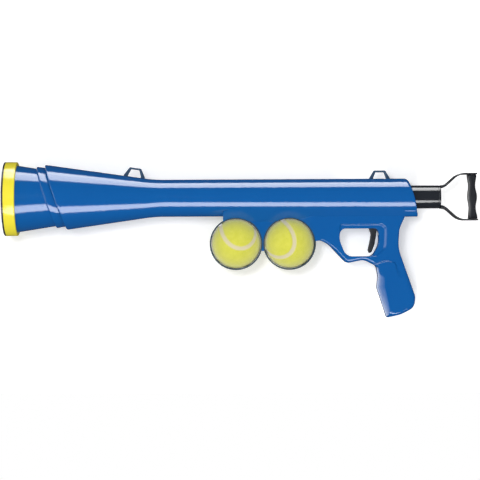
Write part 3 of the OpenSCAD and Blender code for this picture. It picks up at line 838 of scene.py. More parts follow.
@dataclass(frozen=True)
class Muzzle:
    """The blue collar with its slanted bead, and the yellow ring on its front."""

    body: MouldedBody
    lip: float = 4.0
    mouth_r: float = 40.0
    collar_r: float = 42.5
    taper: float = 9.0
    bead_len: float = 12.0
    bead_rise: float = 2.5
    wall: float = 2.2
    gap: float = 0.3
    ring_lap: float = 1.5
    sides: int = 160

    def cone(self, x: float) -> float:
        """Return the collar's outer radius at a place along X."""
        return self.collar_r - (x - node_box("muzzle_ring")[1].x) * math.tan(math.radians(self.taper))

    def slanted_x(self, middle: float, rise: float, turn: float) -> float:
        """Find where a slanted plane cuts the collar's cone.

        Args:
            middle: Where the plane crosses the axis.
            rise: Height of the surface above the cone.
            turn: Angle round the axis, from +Y towards +Z.

        Returns:
            The place along X.
        """
        tries = 8
        lean = math.sin(turn) * math.tan(math.radians(self.body.lip_slant))
        x = middle
        for _ in range(tries):
            x = middle - (self.cone(x) + rise) * lean
        return x

    def collar_mesh(self) -> Mesh:
        """Make the collar, one profile for each angle, because its bead is slanted.

        Returns:
            The mesh.
        """
        foot_r, bead_r, back_r, end_r, inside_r = 0.7, 1.1, 0.4, 0.8, 8
        bead_draft, step, tuck_len, tuck_drop = 0.5, 1, 2, 1
        ring_len = node_box("muzzle_ring")[1].x
        end = node_box("muzzle_collar")[1].x
        lip_x = self.body.lip_x - self.gap
        bead_x = self.body.lip_x - self.bead_len
        inner_end = float(self.body.radius(np.array(end))) - self.body.wall - self.gap
        rows = []
        for turn in np.linspace(0, 2 * math.pi, self.sides, endpoint=False):
            front = self.slanted_x(bead_x, 0, turn)
            back = self.slanted_x(lip_x, self.bead_rise, turn)
            tuck = float(self.body.radius(np.array(back))) - self.body.wall - self.gap
            profile = round_corners([
                (self.lip, self.mouth_r, 0), (self.lip, self.collar_r, 0), (ring_len, self.collar_r, 0),
                (front, self.cone(front), foot_r), (front + bead_draft, self.cone(front) + self.bead_rise, bead_r),
                (back, self.cone(back) + self.bead_rise, back_r), (back, min(tuck, self.cone(back) + step), 0),
                (back + tuck_len, tuck - tuck_drop, 0), (end, inner_end, end_r), (end, inner_end - self.wall, end_r),
                (bead_x, self.cone(bead_x) - self.wall, inside_r), (ring_len, self.mouth_r, inside_r)], 4)
            profile = np.vstack([profile, profile[:1]])
            rows.append(np.column_stack([
                profile[:, 0], profile[:, 1] * math.cos(turn), profile[:, 1] * math.sin(turn)]))
        points = np.stack(rows, 1).reshape(-1, 3)
        return smooth_mesh("muzzle_collar", points, grid_faces(len(rows[0]), self.sides))

    def ring_mesh(self) -> Mesh:
        """Make the ring, with soft edges and a lip over the collar's end.

        Returns:
            The mesh.
        """
        mouth_edge, lap_edge, back_edge, front_edge = 0.7, 0.3, 1.2, 0.5
        high = node_box("muzzle_ring")[1]
        back = high.x + self.ring_lap
        profile = [
            (0, self.mouth_r, mouth_edge), (self.lip, self.mouth_r, 0), (self.lip, self.collar_r, 0),
            (back, self.collar_r, lap_edge), (back, high.z, back_edge), (0, high.z, front_edge)]
        return turned_mesh("muzzle_ring", round_corners(profile, 5), self.sides)

    def dress(self, blue: Material, yellow: Material) -> None:
        """Put the collar and the ring in the scene."""
        shown("muzzle_collar_cone", self.collar_mesh(), Body.SHELL, ["muzzle_collar"], blue)
        shown("muzzle_ring_band", self.ring_mesh(), Body.SHELL, ["muzzle_ring"], yellow)


@dataclass(frozen=True)
class FeltBall:
    """A tennis ball: felt cover with a sunken seam and loose fuzz."""

    node: str
    body: Body
    turns: tuple[float, float, float]
    pile: float = 0.5
    seam_half: float = 2.5
    seam_depth: float = 0.45
    tufts_per_m2: float = 1.1e6

    def seam_distance(self, points: Array) -> Array:
        """Measure how far points on the unit sphere lie from the seam.

        Args:
            points: Unit vectors.

        Returns:
            Distances, in radii.
        """
        samples, main, twist, swing = 480, 0.8, 0.2, 0.8
        t = np.linspace(0, 2 * math.pi, samples, endpoint=False)
        curve = np.stack([main * np.cos(t) + twist * np.cos(3 * t), main * np.sin(t) - twist * np.sin(3 * t),
                          swing * np.sin(2 * t)], 1)
        spin = np.array(Euler([math.radians(a) for a in self.turns]).to_matrix())
        curve = curve @ spin.T
        return np.array([np.sqrt(((curve - p) ** 2).sum(1).min()) for p in points])

    def mesh(self) -> Mesh:
        """Make the felt cover; the attribute "seam" is 1 in the seam and 0 away from it.

        Returns:
            The mesh.
        """
        splits, fade, bulge_h, bulge_off, bulge_w = 6, 0.5, 0.35, 1.6, 1.4
        low, high = node_box(self.node)
        centre, radius = (low + high) / 2, (high.x - low.x) / 2 - self.pile
        work = bmesh.new()
        bmesh.ops.create_icosphere(work, subdivisions=splits, radius=1)
        mesh = bpy.data.meshes.new(self.node)
        work.to_mesh(mesh)
        work.free()
        unit = np.array([v.co[:] for v in mesh.vertices])
        away = self.seam_distance(unit) * radius
        seam = 1 - ease(away, self.seam_half - fade, self.seam_half + fade)
        bulge = bulge_h * np.exp(-((away - self.seam_half - bulge_off) / bulge_w) ** 2)
        places = unit * (radius - self.seam_depth * seam + bulge * (1 - seam))[:, None] + np.array(centre)
        mesh.vertices.foreach_set("co", (places * MM).ravel())
        mesh.attributes.new("seam", "FLOAT", "POINT").data.foreach_set("value", seam)
        mesh.shade_smooth()
        return mesh

    def dress(self, felt: Material) -> None:
        """Put the ball in the scene, with its fuzz."""
        mesh = fuzzy(self.mesh(), felt, self.pile * MM, self.tufts_per_m2)
        shown(f"{self.node}_felt", mesh, self.body, [self.node])


@dataclass(frozen=True)
class Trigger:
    """The trigger: a curved blade on a hub, with the arm that draws the sear down."""

    body: MouldedBody
    half: float = 4.0
    edge: float = 1.2
    pivot: tuple[float, float] = (8, -8)
    arm: tuple[float, float] = (-9, -6)
    hub_r: float = 5.0
    arm_r: float = 1.7
    arm_half: float = 2.2
    blade: Corners = (
        (-9.1, -47.7, 1.6), (-5.4, -45.7, 2), (-2, -36.5, 12), (0.2, -24.5, 8), (1.2, -16.5, 3), (11, -9.5, 0),
        (8.5, -4.6, 0), (0.5, -7.5, 2), (-9.6, -15, 2), (-6.7, -23.3, 6), (-8, -31.5, 10), (-10.7, -43.5, 3))

    def dress(self, black: Material) -> None:
        """Put the trigger in the scene.

        Args:
            black: Its finish.
        """
        hub_half, hub_edge, end_half, arm_edge = self.half + 0.2, 0.4, self.arm_half - 0.2, 0.3
        pivot, arm = (np.array(p) + self.body.root for p in (self.pivot, self.arm))
        ring = circle(40)
        along = (arm - pivot) / np.linalg.norm(arm - pivot)
        across = np.array([-along[1], along[0]]) * self.arm_r
        bar = np.array([pivot + across, arm + across, arm - across, pivot - across])
        parts = [
            plate_mesh("blade", self.body.placed(self.blade), -self.half, self.half, self.edge),
            plate_mesh("hub", ring * self.hub_r + pivot, -hub_half, hub_half, hub_edge),
            plate_mesh("arm", bar, -self.arm_half, self.arm_half, arm_edge, 2),
            plate_mesh("arm_end", ring * self.arm_r + arm, -end_half, end_half, arm_edge),
        ]
        shown("trigger_blade", joined("trigger", parts), Body.TRIGGER, ["trigger"], black)


@dataclass(frozen=True)
class PullHandle:
    """The D-shaped pull handle: a thin strap frame plugged into the tube, and a waved grip bar."""

    strap: float = 1.8
    flange: float = 0.3
    neck_x: float = 6.5
    neck_out: float = 0.9
    neck_r: float = 16.0
    shoulder_x: float = 22.5
    shoulder_r: float = 22.0
    gusset: float = 2.2
    gusset_len: float = 9.0
    bar_t: float = 11.6
    bar_tilt: float = 0.02
    bar_shift: float = 0.7
    wave: float = 1.0
    waves: float = 2.0
    plug_len: float = 20.0
    plug_r: float = 11.55

    def strap_mesh(self, sign: int) -> Mesh:
        """Sweep one strap from the tube's end to the far end of the grip.

        Args:
            sign: 1 for the upper strap, -1 for the lower.

        Returns:
            The mesh.
        """
        high = node_box("handle_frame")[1]
        tube = node_box("pull_tube")[1]
        edge, spacing = 0.6, 1.0
        path = round_corners([
            (tube.x + self.flange, tube.z, 0), (tube.x + self.neck_x, tube.z + self.neck_out, self.neck_r),
            (tube.x + self.shoulder_x, high.z, self.shoulder_r),
            (high.x + self.bar_shift - sign * self.bar_tilt * high.z, high.z, 0)], 14, open_ends=True)
        dense = [path[0]]
        for a, b in zip(path, path[1:]):
            count = max(1, round(float(np.linalg.norm(b - a)) / spacing))
            dense += [a + (b - a) * k / count for k in range(1, count + 1)]
        path = np.array(dense)
        ahead = np.gradient(path, axis=0)
        ahead /= np.linalg.norm(ahead, axis=1)[:, None]
        inwards = np.stack([ahead[:, 1], -ahead[:, 0]], 1)
        thick = self.strap + self.gusset * (1 - ease(path[:, 0], tube.x, tube.x + self.gusset_len))
        outline = np.vstack([path, (path + inwards * thick[:, None])[::-1]])[::-1]
        outline[:, 1] *= sign
        if sign < 0:
            outline = outline[::-1]
        return plate_mesh("strap", outline, -high.y, high.y, edge, 3)

    def frame_mesh(self) -> Mesh:
        """Make the two straps, the flange on the tube's end, the plug inside it and the bar's core.

        Returns:
            The mesh.
        """
        tube = node_box("pull_tube")[1]
        high = node_box("handle_frame")[1]
        core_t, core_w, core_edge, plug_edge, front_edge, back_edge = 4.6, 12.0, 0.4, 0.8, 0.1, 0.15
        start, end = tube.x - self.plug_len, tube.x + self.flange
        profile = round_corners([
            (start, 0, 0), (start, self.plug_r, plug_edge), (tube.x, self.plug_r, 0),
            (tube.x, tube.z, front_edge), (end, tube.z, back_edge), (end, 0, 0)], 4)
        middle = high.x + self.bar_shift - self.bar_t / 2
        inner = high.z - self.strap / 2
        core = np.array([(middle - core_t / 2, -inner), (middle + core_t / 2, -inner),
                         (middle + core_t / 2, inner), (middle - core_t / 2, inner)])
        parts = [self.strap_mesh(1), self.strap_mesh(-1), turned_mesh("flange", profile, 96, closed=False),
                 plate_mesh("core", core, -core_w / 2, core_w / 2, core_edge, 2)]
        return joined("handle_frame", parts)

    def grip_mesh(self) -> Mesh:
        """Make the grip bar: a rounded bar whose front and back wave for the fingers.

        Returns:
            The mesh.
        """
        low, high = node_box("handle_grip")
        rows, columns, sharp = 72, 48, 60
        squareness, front_share, end_from, end_draw = 0.35, 0.7, 0.97, 0.1
        middle = high.x + self.bar_shift - self.bar_t / 2
        c, s = circle(columns).T
        points = []
        for z in np.linspace(low.z, high.z, rows):
            share = z / high.z
            swing = self.wave * math.cos(2 * math.pi * self.waves * share / 2)
            end = 1 - end_draw * max(0.0, (abs(share) - end_from) / (1 - end_from)) ** 2
            tilt = self.bar_tilt * z
            left = middle - self.bar_t / 2 + self.wave - front_share * swing - tilt
            right = middle + self.bar_t / 2 - self.wave + swing - tilt
            x = (left + right) / 2 + end * (right - left) / 2 * np.sign(c) * np.abs(c) ** squareness
            y = end * high.y * np.sign(s) * np.abs(s) ** squareness
            points.append(np.column_stack([x, y, np.full(columns, z)]))
        return smooth_mesh("handle_grip", np.vstack(points), grid_faces(rows, columns, capped=True), sharp)

    def dress(self, black: Material) -> None:
        """Put the handle in the scene."""
        shown("handle_straps", self.frame_mesh(), Body.PLUNGER, ["handle_frame"], black)
        shown("handle_bar", self.grip_mesh(), Body.PLUNGER, ["handle_grip"], black)


@dataclass(frozen=True)
class Plunger:
    """The glossy pull tube with its sear groove, and the rubber striker with its screw."""

    bore_r: float = 11.6
    groove_from_end: float = 247.1
    groove_len: float = 9.2
    groove_depth: float = 1.6
    collar_line: float = 2.2

    def tube_mesh(self) -> Mesh:
        """Make the tube, with a fine line turned near its end.

        Returns:
            The mesh.
        """
        low, high = node_box("pull_tube")
        groove = high.x - self.groove_from_end
        line, fine, r, floor = high.x - self.collar_line, 0.35, high.z, high.z - self.groove_depth
        end_edge, line_edge, line_root, groove_edge = 0.4, 0.15, 0.1, 0.2
        profile = round_corners([
            (low.x, self.bore_r, 0), (high.x, self.bore_r, 0), (high.x, r, end_edge), (line + fine, r, line_edge),
            (line, r - fine, line_root), (line - fine, r, line_edge), (groove, r, groove_edge), (groove, floor, 0),
            (groove - self.groove_len, floor, 0), (groove - self.groove_len, r, groove_edge),
            (low.x, r, end_edge)], 3)
        return turned_mesh("pull_tube", profile, 144)

    def pad_mesh(self) -> Mesh:
        """Make the striker pad, with ribs round its face.

        Returns:
            The mesh.
        """
        low, high = node_box("striker_pad")
        hole, ribs, rib_h, rim, first_rib, chamfer = 3.8, 4, 0.5, 2, 1.6, 1.2
        rib_end, valley_start, valley_end = 0.55, 0.6, 0.95
        rib_edge, valley_edge, back_edge, rim_edge = 0.3, 0.2, 0.4, 0.8
        step, valley = (high.z - rim - hole) / ribs, low.x + rib_h
        profile = [(high.x, hole, 0), (high.x, high.z, back_edge), (low.x + chamfer, high.z, rim_edge)]
        for k in range(ribs):
            r = high.z - first_rib - k * step
            profile += [(low.x, r, rib_edge), (low.x, r - step * rib_end, rib_edge),
                        (valley, r - step * valley_start, valley_edge), (valley, r - step * valley_end, valley_edge)]
        profile.append((valley, hole, valley_edge))
        return turned_mesh("striker_pad", round_corners(profile, 3), 128)

    def dress(self, gloss: Material, rubber: Material, steel: Material) -> None:
        """Put the tube, the pad and its screw in the scene.

        Args:
            gloss: The tube's finish.
            rubber: The pad's finish.
            steel: The screw's finish.
        """
        shown("pull_tube_gloss", self.tube_mesh(), Body.PLUNGER, ["pull_tube"], gloss)
        shown("striker_pad_ribbed", self.pad_mesh(), Body.PLUNGER, ["striker_pad"], rubber)
        low, high = node_box("pad_screw")
        head_h, shank_r = 2.0, 1.5
        mesh = Screw(high.z, head_h, shank_r, high.x - low.x - head_h).mesh()
        seat = low.x * MM + head_h * MM
        mesh.transform(Matrix.Translation((seat, 0, 0)) @ Matrix.Rotation(math.pi / 2, 4, "Z"))
        shown("pad_screw_pan", mesh, Body.PLUNGER, ["pad_screw"], steel)


@dataclass(frozen=True)
class Screw:
    """A pan-head screw with a cross recess, along Y, its head above y = 0."""

    head_r: float
    head_h: float
    shank_r: float
    length: float
    cell: float = 0.16

    def mesh(self) -> Mesh:
        """Make the screw's mesh.

        Returns:
            The mesh.
        """
        room, reach, long, short = 0.3, self.head_r + 0.4, 0.62 * self.head_r, 0.16 * self.head_r
        depth, slope, fall, edge, sink, tip = 0.7, 0.35, 0.5, 0.25, 0.1, 0.4
        across = np.linspace(-reach, reach, round(2 * reach / self.cell))
        up = np.linspace(-room, self.head_h + room, round((self.head_h + 2 * room) / self.cell))

        def head(x: Array, y: Array, z: Array) -> Array:
            """Return the field of the head with its recess.

            Args:
                x, y, z: Places along the axes.

            Returns:
                The field.
            """
            r = np.hypot(x, z)
            dome = self.head_h - fall * (r / self.head_r) ** 2
            solid = meet(r - self.head_r, np.maximum(y - dome, -y), edge)
            floor = self.head_h * (1 - depth) + slope * r / self.head_r * self.head_h
            slots = np.minimum(np.maximum(np.abs(x) - long, np.abs(z) - short),
                               np.maximum(np.abs(z) - long, np.abs(x) - short))
            return np.maximum(solid, -np.maximum(slots, floor - y))

        top = net_mesh("screw_head", head, [across, up, across])
        shank = plate_mesh("shank", circle(20, self.shank_r), -self.length, sink, tip, 3)
        return joined("screw", [top, shank])


@dataclass(frozen=True)
class Coil:
    """A coil spring, wound between the ends of its solid."""

    node: str
    joint: str
    wire: float
    turns: int
    axis: int
    anchor_high: bool
    travel: float

    def dress(self, steel: Material) -> None:
        """Put the spring in the scene.

        Args:
            steel: Its finish.
        """
        low, high = node_box(self.node)
        sides, wire_sides, dead_turns = 28, 10, 0.8
        length = high[self.axis] - low[self.axis]
        centre = (low + high) / 2
        mean_r = (high.y - low.y) / 2 - self.wire / 2
        t = np.linspace(0, 2 * math.pi * self.turns, self.turns * sides + 1)
        dead = dead_turns * 2 * math.pi
        first, last = np.clip(t / dead, 0, 1), np.clip((t - t[-1] + dead) / dead, 0, 1)
        rise = np.clip((t - dead) / (t[-1] - 2 * dead), 0, 1) * (length - 3 * self.wire)
        rise = self.wire / 2 + rise + self.wire * first / 2 + self.wire * last * 1.5
        up = np.array([0, 0, 1.0])
        out = np.stack([np.cos(t), np.sin(t), np.zeros_like(t)], 1)
        path = out * mean_r + rise[:, None] * up
        outwards, upwards = circle(wire_sides).T[:, None, :, None]
        points = (path[:, None] + self.wire / 2 * (outwards * out[:, None] + upwards * up)).reshape(-1, 3)
        order = [2, 1, 0] if self.axis == 0 else [0, 1, 2]
        base = np.array(centre)
        base[self.axis] = low[self.axis]
        mesh = smooth_mesh(self.node, points[:, order] + base, grid_faces(len(path), wire_sides, capped=True))
        piece = shown(f"{self.node}_coil", mesh, Body.SHELL, [self.node], steel)
        anchor = base.copy()
        anchor[self.axis] = (high if self.anchor_high else low)[self.axis]
        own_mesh(piece)


def modifier_result(mesh: Mesh, tree: NodeTree, values: dict[str, object]) -> Mesh:
    """Run a geometry node tree on a mesh and keep what it makes.

    Args:
        mesh: The mesh to start from.
        tree: The node tree.
        values: The tree's inputs, by name.

    Returns:
        The made mesh.
    """
    work = in_scene(f"{tree.name}_work", mesh)
    modifier = work.modifiers.new(tree.name, "NODES")
    modifier.node_group = tree
    for item in tree.interface.items_tree:
        if item.item_type == "SOCKET" and item.in_out == "INPUT" and item.name in values:
            modifier[item.identifier] = values[item.name]
    shape = work.evaluated_get(bpy.context.evaluated_depsgraph_get())
    made = bpy.data.meshes.new_from_object(shape)
    work.modifiers.clear()
    bpy.data.objects.remove(work)
    return made


class TreeMaker:
    """Adds nodes to a tree and links them, in few words."""

    def __init__(self, tree: NodeTree) -> None:
        """Start on a tree."""
        self.tree = tree

    def add(self, kind: str, inputs: dict[str | int, object] | None = None, **settings: object) -> Node:
        """Add a node, set its properties and connect or set its inputs.

        Args:
            kind: The node's type name.
            inputs: Values, output sockets or nodes for their first output, by the input's name or number.
            settings: Properties of the node.

        Returns:
            The node.
        """
        node = self.tree.nodes.new(kind)
        for name, value in settings.items():
            setattr(node, name, value)
        self.feed(node, inputs or {})
        return node

    def feed(self, node: Node, inputs: dict[str | int, object]) -> None:
        """Connect or set the inputs of a node.

        Args:
            node: The node.
            inputs: Values, output sockets or nodes for their first output, by the input's name or number.
        """
        for key, value in inputs.items():
            source = value.outputs[0] if isinstance(value, Node) else value
            if isinstance(source, Socket):
                self.tree.links.new(source, node.inputs[key])
            else:
                node.inputs[key].default_value = source

    def ports(self, inputs: dict[str, str], outputs: dict[str, str]) -> Node:
        """Give the tree its inputs and outputs.

        Args:
            inputs: Kinds of socket, by their names.
            outputs: The same, for what the tree gives back.

        Returns:
            The node that holds the inputs.
        """
        for way, sockets in (("INPUT", inputs), ("OUTPUT", outputs)):
            for name, kind in sockets.items():
                self.tree.interface.new_socket(name=name, in_out=way, socket_type=f"NodeSocket{kind}")
        return self.add("NodeGroupInput")

    def blend(self, share: Node | Socket, first: object, second: object) -> Socket:
        """Blend two colours or output sockets, by a share of the second."""
        return self.add("ShaderNodeMix", {"Factor": share, 6: first, 7: second}, data_type="RGBA").outputs[2]

    @property
    def shader(self) -> Node:
        """The shader that a new material starts with."""
        return self.tree.nodes["Principled BSDF"]


def fuzzy(mesh: Mesh, felt: Material, pile: float, density: float) -> Mesh:
    """Scatter short bent fibres over a felt mesh, away from its seam.

    Args:
        mesh: The felt's mesh, with the attribute "seam".
        felt: The felt's finish.
        pile: Length of a fibre, in metres.
        density: Fibres in a square metre.

    Returns:
        The mesh with its fibres.
    """
    width, bend, tip, seam_limit, shortest = 0.18 * pile, 0.7, 1.1 * pile, 0.3, 0.45
    blade = bpy.data.meshes.new("fibre")
    knee = (bend * width, 0.5 * pile, bend * pile)
    blade.from_pydata([(-width, 0, 0), (width, 0, 0), knee, (0, tip, pile)], [], [(0, 1, 2), (0, 2, 3)])
    fibre = bpy.data.objects.new("fibre", blade)
    tree = bpy.data.node_groups.new("FuzzScatter", "GeometryNodeTree")
    make = TreeMaker(tree)
    given = make.ports({"Geometry": "Geometry", "Density": "Float", "Fibre": "Object", "Finish": "Material"},
                       {"Geometry": "Geometry"})
    seam = make.add("GeometryNodeInputNamedAttribute", {"Name": "seam"}, data_type="FLOAT")
    bare = make.add("FunctionNodeCompare", {0: seam.outputs["Attribute"], 1: seam_limit}, data_type="FLOAT",
                    operation="LESS_THAN")
    points = make.add("GeometryNodeDistributePointsOnFaces", {
        "Mesh": given.outputs["Geometry"], "Selection": bare, "Density": given.outputs["Density"], "Seed": SEED})
    spin = make.add("FunctionNodeRandomValue", {2: 0.0, 3: 2 * math.pi, "Seed": SEED}, data_type="FLOAT")
    turn = make.add("FunctionNodeAxisAngleToRotation", {"Axis": (0, 0, 1), "Angle": spin.outputs[1]})
    spun = make.add("FunctionNodeRotateRotation", {
        "Rotation": points.outputs["Rotation"], "Rotate By": turn}, rotation_space="LOCAL")
    size = make.add("FunctionNodeRandomValue", {2: shortest, 3: 1.0, "Seed": SEED + 1}, data_type="FLOAT")
    shape = make.add("GeometryNodeObjectInfo", {"Object": given.outputs["Fibre"]})
    strewn = make.add("GeometryNodeInstanceOnPoints", {
        "Points": points, "Instance": shape.outputs["Geometry"], "Rotation": spun, "Scale": size.outputs[1]})
    real = make.add("GeometryNodeRealizeInstances", {"Geometry": strewn})
    both = make.add("GeometryNodeJoinGeometry")
    for part in (real, given):
        make.feed(both, {"Geometry": part})
    finished = make.add("GeometryNodeSetMaterial", {"Geometry": both, "Material": given.outputs["Finish"]})
    make.add("NodeGroupOutput", {"Geometry": finished})
    made = modifier_result(mesh, tree, {"Density": density, "Fibre": fibre, "Finish": felt})
    bpy.data.objects.remove(fibre)
    return made


def screwed(body: MouldedBody, screw: Mesh, steel: Material) -> Mesh:
    """Set a screw at each screw place of the body.

    Args:
        body: The moulded body.
        screw: The screw's mesh, in metres.
        steel: The screws' finish.

    Returns:
        The mesh of all the screws.
    """
    spots = bpy.data.meshes.new("screw_spots")
    spots.from_pydata([(x * MM, body.seat_y * MM, z * MM) for x, z in body.screw_places()], [], [])
    piece = bpy.data.objects.new("screw", screw)
    tree = bpy.data.node_groups.new("ScrewSet", "GeometryNodeTree")
    make = TreeMaker(tree)
    given = make.ports({"Geometry": "Geometry", "Screw": "Object", "Finish": "Material"}, {"Geometry": "Geometry"})
    shape = make.add("GeometryNodeObjectInfo", {"Object": given.outputs["Screw"]})
    twist = make.add("FunctionNodeRandomValue", {2: 0.0, 3: math.pi, "Seed": SEED}, data_type="FLOAT")
    turn = make.add("FunctionNodeAxisAngleToRotation", {"Axis": (0, 1, 0), "Angle": twist.outputs[1]})
    points = make.add("GeometryNodeMeshToPoints", {"Mesh": given.outputs["Geometry"]})
    copies = make.add("GeometryNodeInstanceOnPoints", {
        "Points": points, "Instance": shape.outputs["Geometry"], "Rotation": turn})
    real = make.add("GeometryNodeRealizeInstances", {"Geometry": copies})
    finished = make.add("GeometryNodeSetMaterial", {"Geometry": real, "Material": given.outputs["Finish"]})
    make.add("NodeGroupOutput", {"Geometry": finished})
    made = modifier_result(spots, tree, {"Screw": piece, "Finish": steel})
    bpy.data.objects.remove(piece)
    return made


def linear(red: int, green: int, blue: int) -> tuple[float, float, float, float]:
    """Turn a colour as a screen shows it into the renderer's linear values.

    Args:
        red, green, blue: The colour's parts, 0 to 255.

    Returns:
        The linear colour with full opacity.
    """
    def lin(v: int) -> float:
        """Turn one channel into its linear value."""
        s = v / 255
        return s / 12.92 if s <= 0.04045 else ((s + 0.055) / 1.055) ** 2.4

    return lin(red), lin(green), lin(blue), 1.0


class Finishes:
    """The launcher's materials and the shader groups that they share."""

    def __init__(self) -> None:
        """Make the shared groups and every finish."""
        self.mottle = self.mottle_group()
        self.grain = self.grain_group()
        self.scuff = self.scuff_group()
        self.blue = self.body_blue()
        self.yellow = self.ring_yellow()
        self.felt = self.tennis_felt()
        self.gloss = self.moulded("gloss_black", (34, 37, 43), (42, 45, 52), rough=0.10, grain=0.04)
        self.satin = self.moulded("satin_black", (22, 25, 31), (33, 37, 45), rough=0.34, grain=0.12)
        self.acetal = self.moulded("acetal_grey", (196, 196, 190), (210, 209, 203), rough=0.3, grain=0.06)
        self.rubber = self.moulded("soft_rubber", (24, 24, 25), (36, 36, 37), rough=0.7, grain=0.25)
        self.steel = self.plated_steel()

    @staticmethod
    def new_group(name: str) -> tuple[NodeTree, TreeMaker]:
        """Start a shader group."""
        tree = bpy.data.node_groups.new(name, "ShaderNodeTree")
        return tree, TreeMaker(tree)

    @staticmethod
    def new_material(name: str) -> tuple[Material, TreeMaker]:
        """Start a material with one shader.

        Args:
            name: Its name.

        Returns:
            The material and its maker.
        """
        material = bpy.data.materials.new(name)
        material.use_nodes = True
        return material, TreeMaker(material.node_tree)

    def mottle_group(self) -> NodeTree:
        """Make a group that wanders between two colours, as pigment does in a moulding.

        Returns:
            The group.
        """
        tree, make = self.new_group("PigmentMottle")
        given = make.ports({"Scale": "Float", "Dark": "Color", "Light": "Color"}, {"Colour": "Color"})
        place = make.add("ShaderNodeTexCoord")
        cloud = make.add("ShaderNodeTexNoise", {
            "Vector": place.outputs["Object"], "Scale": given.outputs["Scale"], "Detail": 5.0, "Roughness": 0.65})
        mix = make.blend(cloud, given.outputs["Dark"], given.outputs["Light"])
        make.add("NodeGroupOutput", {"Colour": mix})
        return tree

    def grain_group(self) -> NodeTree:
        """Make a group for a fine surface grain, as a bump normal.

        Returns:
            The group.
        """
        tree, make = self.new_group("SurfaceGrain")
        given = make.ports({"Scale": "Float", "Strength": "Float"}, {"Normal": "Vector"})
        place = make.add("ShaderNodeTexCoord")
        cloud = make.add("ShaderNodeTexNoise", {
            "Vector": place.outputs["Object"], "Scale": given.outputs["Scale"], "Detail": 3.0})
        bump = make.add("ShaderNodeBump", {
            "Height": cloud, "Strength": given.outputs["Strength"], "Distance": 0.0004})
        make.add("NodeGroupOutput", {"Normal": bump})
        return tree

    def scuff_group(self) -> NodeTree:
        """Make a group for handling marks: hairlines along X and soft smears, as a roughness.

        Returns:
            The group.
        """
        tree, make = self.new_group("HandlingScuffs")
        given = make.ports({"Base": "Float", "Spread": "Float"}, {"Roughness": "Float"})
        place = make.add("ShaderNodeTexCoord")
        along = make.add("ShaderNodeMapping", {"Vector": place.outputs["Object"], "Scale": (18.0, 420.0, 420.0)})
        hair = make.add("ShaderNodeTexNoise", {"Vector": along, "Scale": 1.0, "Detail": 2.0})
        smear = make.add("ShaderNodeTexNoise", {"Vector": place.outputs["Object"], "Scale": 26.0, "Detail": 4.0})
        both = make.add("ShaderNodeMath", {0: hair, 1: smear}, operation="MULTIPLY")
        rough = make.add("ShaderNodeMath", {
            0: both, 1: given.outputs["Spread"], 2: given.outputs["Base"]}, operation="MULTIPLY_ADD")
        make.add("NodeGroupOutput", {"Roughness": rough})
        return tree

    def moulded(self, name: str, dark: tuple[int, int, int], light: tuple[int, int, int], rough: float,
                grain: float) -> Material:
        """Make a moulded plastic or rubber.

        Args:
            name: Name of the material.
            dark: Its darker pigment.
            light: Its lighter pigment.
            rough: Its roughness.
            grain: Strength of its surface grain.

        Returns:
            The material.
        """
        cloud_scale, grain_scale, spread = 34.0, 900.0, 0.35
        material, make = self.new_material(name)
        tint = make.add("ShaderNodeGroup", node_tree=self.mottle, inputs={
            "Scale": cloud_scale, "Dark": linear(*dark), "Light": linear(*light)})
        worn = make.add("ShaderNodeGroup", {"Base": rough, "Spread": spread * rough}, node_tree=self.scuff)
        skin = make.add("ShaderNodeGroup", {"Scale": grain_scale, "Strength": grain}, node_tree=self.grain)
        make.feed(make.shader, {"Base Color": tint, "Roughness": worn, "Normal": skin})
        return material

    def body_blue(self) -> Material:
        """Make the body's blue, with painted shade and more roughness where the attribute "shade" says so.

        Returns:
            The material.
        """
        # The dark navy below is painted shade, which the hoops and strap loops take as if they lay in shade.
        painted_shade_blue, dulled = linear(40, 62, 74), 0.5
        material = self.moulded("moulded_blue", (11, 90, 164), (13, 96, 170), rough=0.10, grain=0.05)
        make = TreeMaker(material.node_tree)
        blue, worn = (make.shader.inputs[name].links[0].from_socket for name in ("Base Color", "Roughness"))
        shade = make.add("ShaderNodeAttribute", attribute_name="shade").outputs["Fac"]
        dull = make.add("ShaderNodeMath", {0: shade, 1: dulled, 2: worn}, operation="MULTIPLY_ADD")
        make.feed(make.shader, {"Base Color": make.blend(shade, blue, painted_shade_blue), "Roughness": dull})
        return material

    def ring_yellow(self) -> Material:
        """Make the ring's yellow, with painted shade: a dark line round its front edge.

        Returns:
            The material.
        """
        # The dark grey band round the front rim is painted shade, laid on by place along X.
        edge_x, fade, dark = 0.0026, 0.0004, linear(52, 58, 62)
        material = self.moulded("ring_yellow", (250, 232, 48), (253, 240, 74), rough=0.16, grain=0.04)
        make = TreeMaker(material.node_tree)
        yellow = make.shader.inputs["Base Color"].links[0].from_socket
        place = make.add("ShaderNodeSeparateXYZ", {0: make.add("ShaderNodeTexCoord").outputs["Object"]})
        line = make.add("ShaderNodeMapRange", {
            "Value": place.outputs["X"], "From Min": edge_x - fade, "From Max": edge_x})
        make.feed(make.shader, {"Base Color": make.blend(line, dark, yellow)})
        return material

    def tennis_felt(self) -> Material:
        """Make the balls' felt: fluffy, uneven, with a pale rubber seam.

        Returns:
            The material.
        """
        pale = linear(222, 212, 172)
        material, make = self.new_material("tennis_felt")
        tint = make.add("ShaderNodeGroup", node_tree=self.mottle, inputs={
            "Scale": 160.0, "Dark": linear(206, 207, 56), "Light": linear(233, 230, 94)})
        seam = make.add("ShaderNodeAttribute", attribute_name="seam")
        nap = make.add("ShaderNodeGroup", {"Scale": 1300.0, "Strength": 0.9}, node_tree=self.grain)
        make.feed(make.shader, {
            "Base Color": make.blend(seam.outputs["Fac"], tint, pale),
            "Normal": nap, "Roughness": 0.95, "Specular IOR Level": 0.15,
            "Sheen Weight": 0.9, "Sheen Roughness": 0.5})
        return material

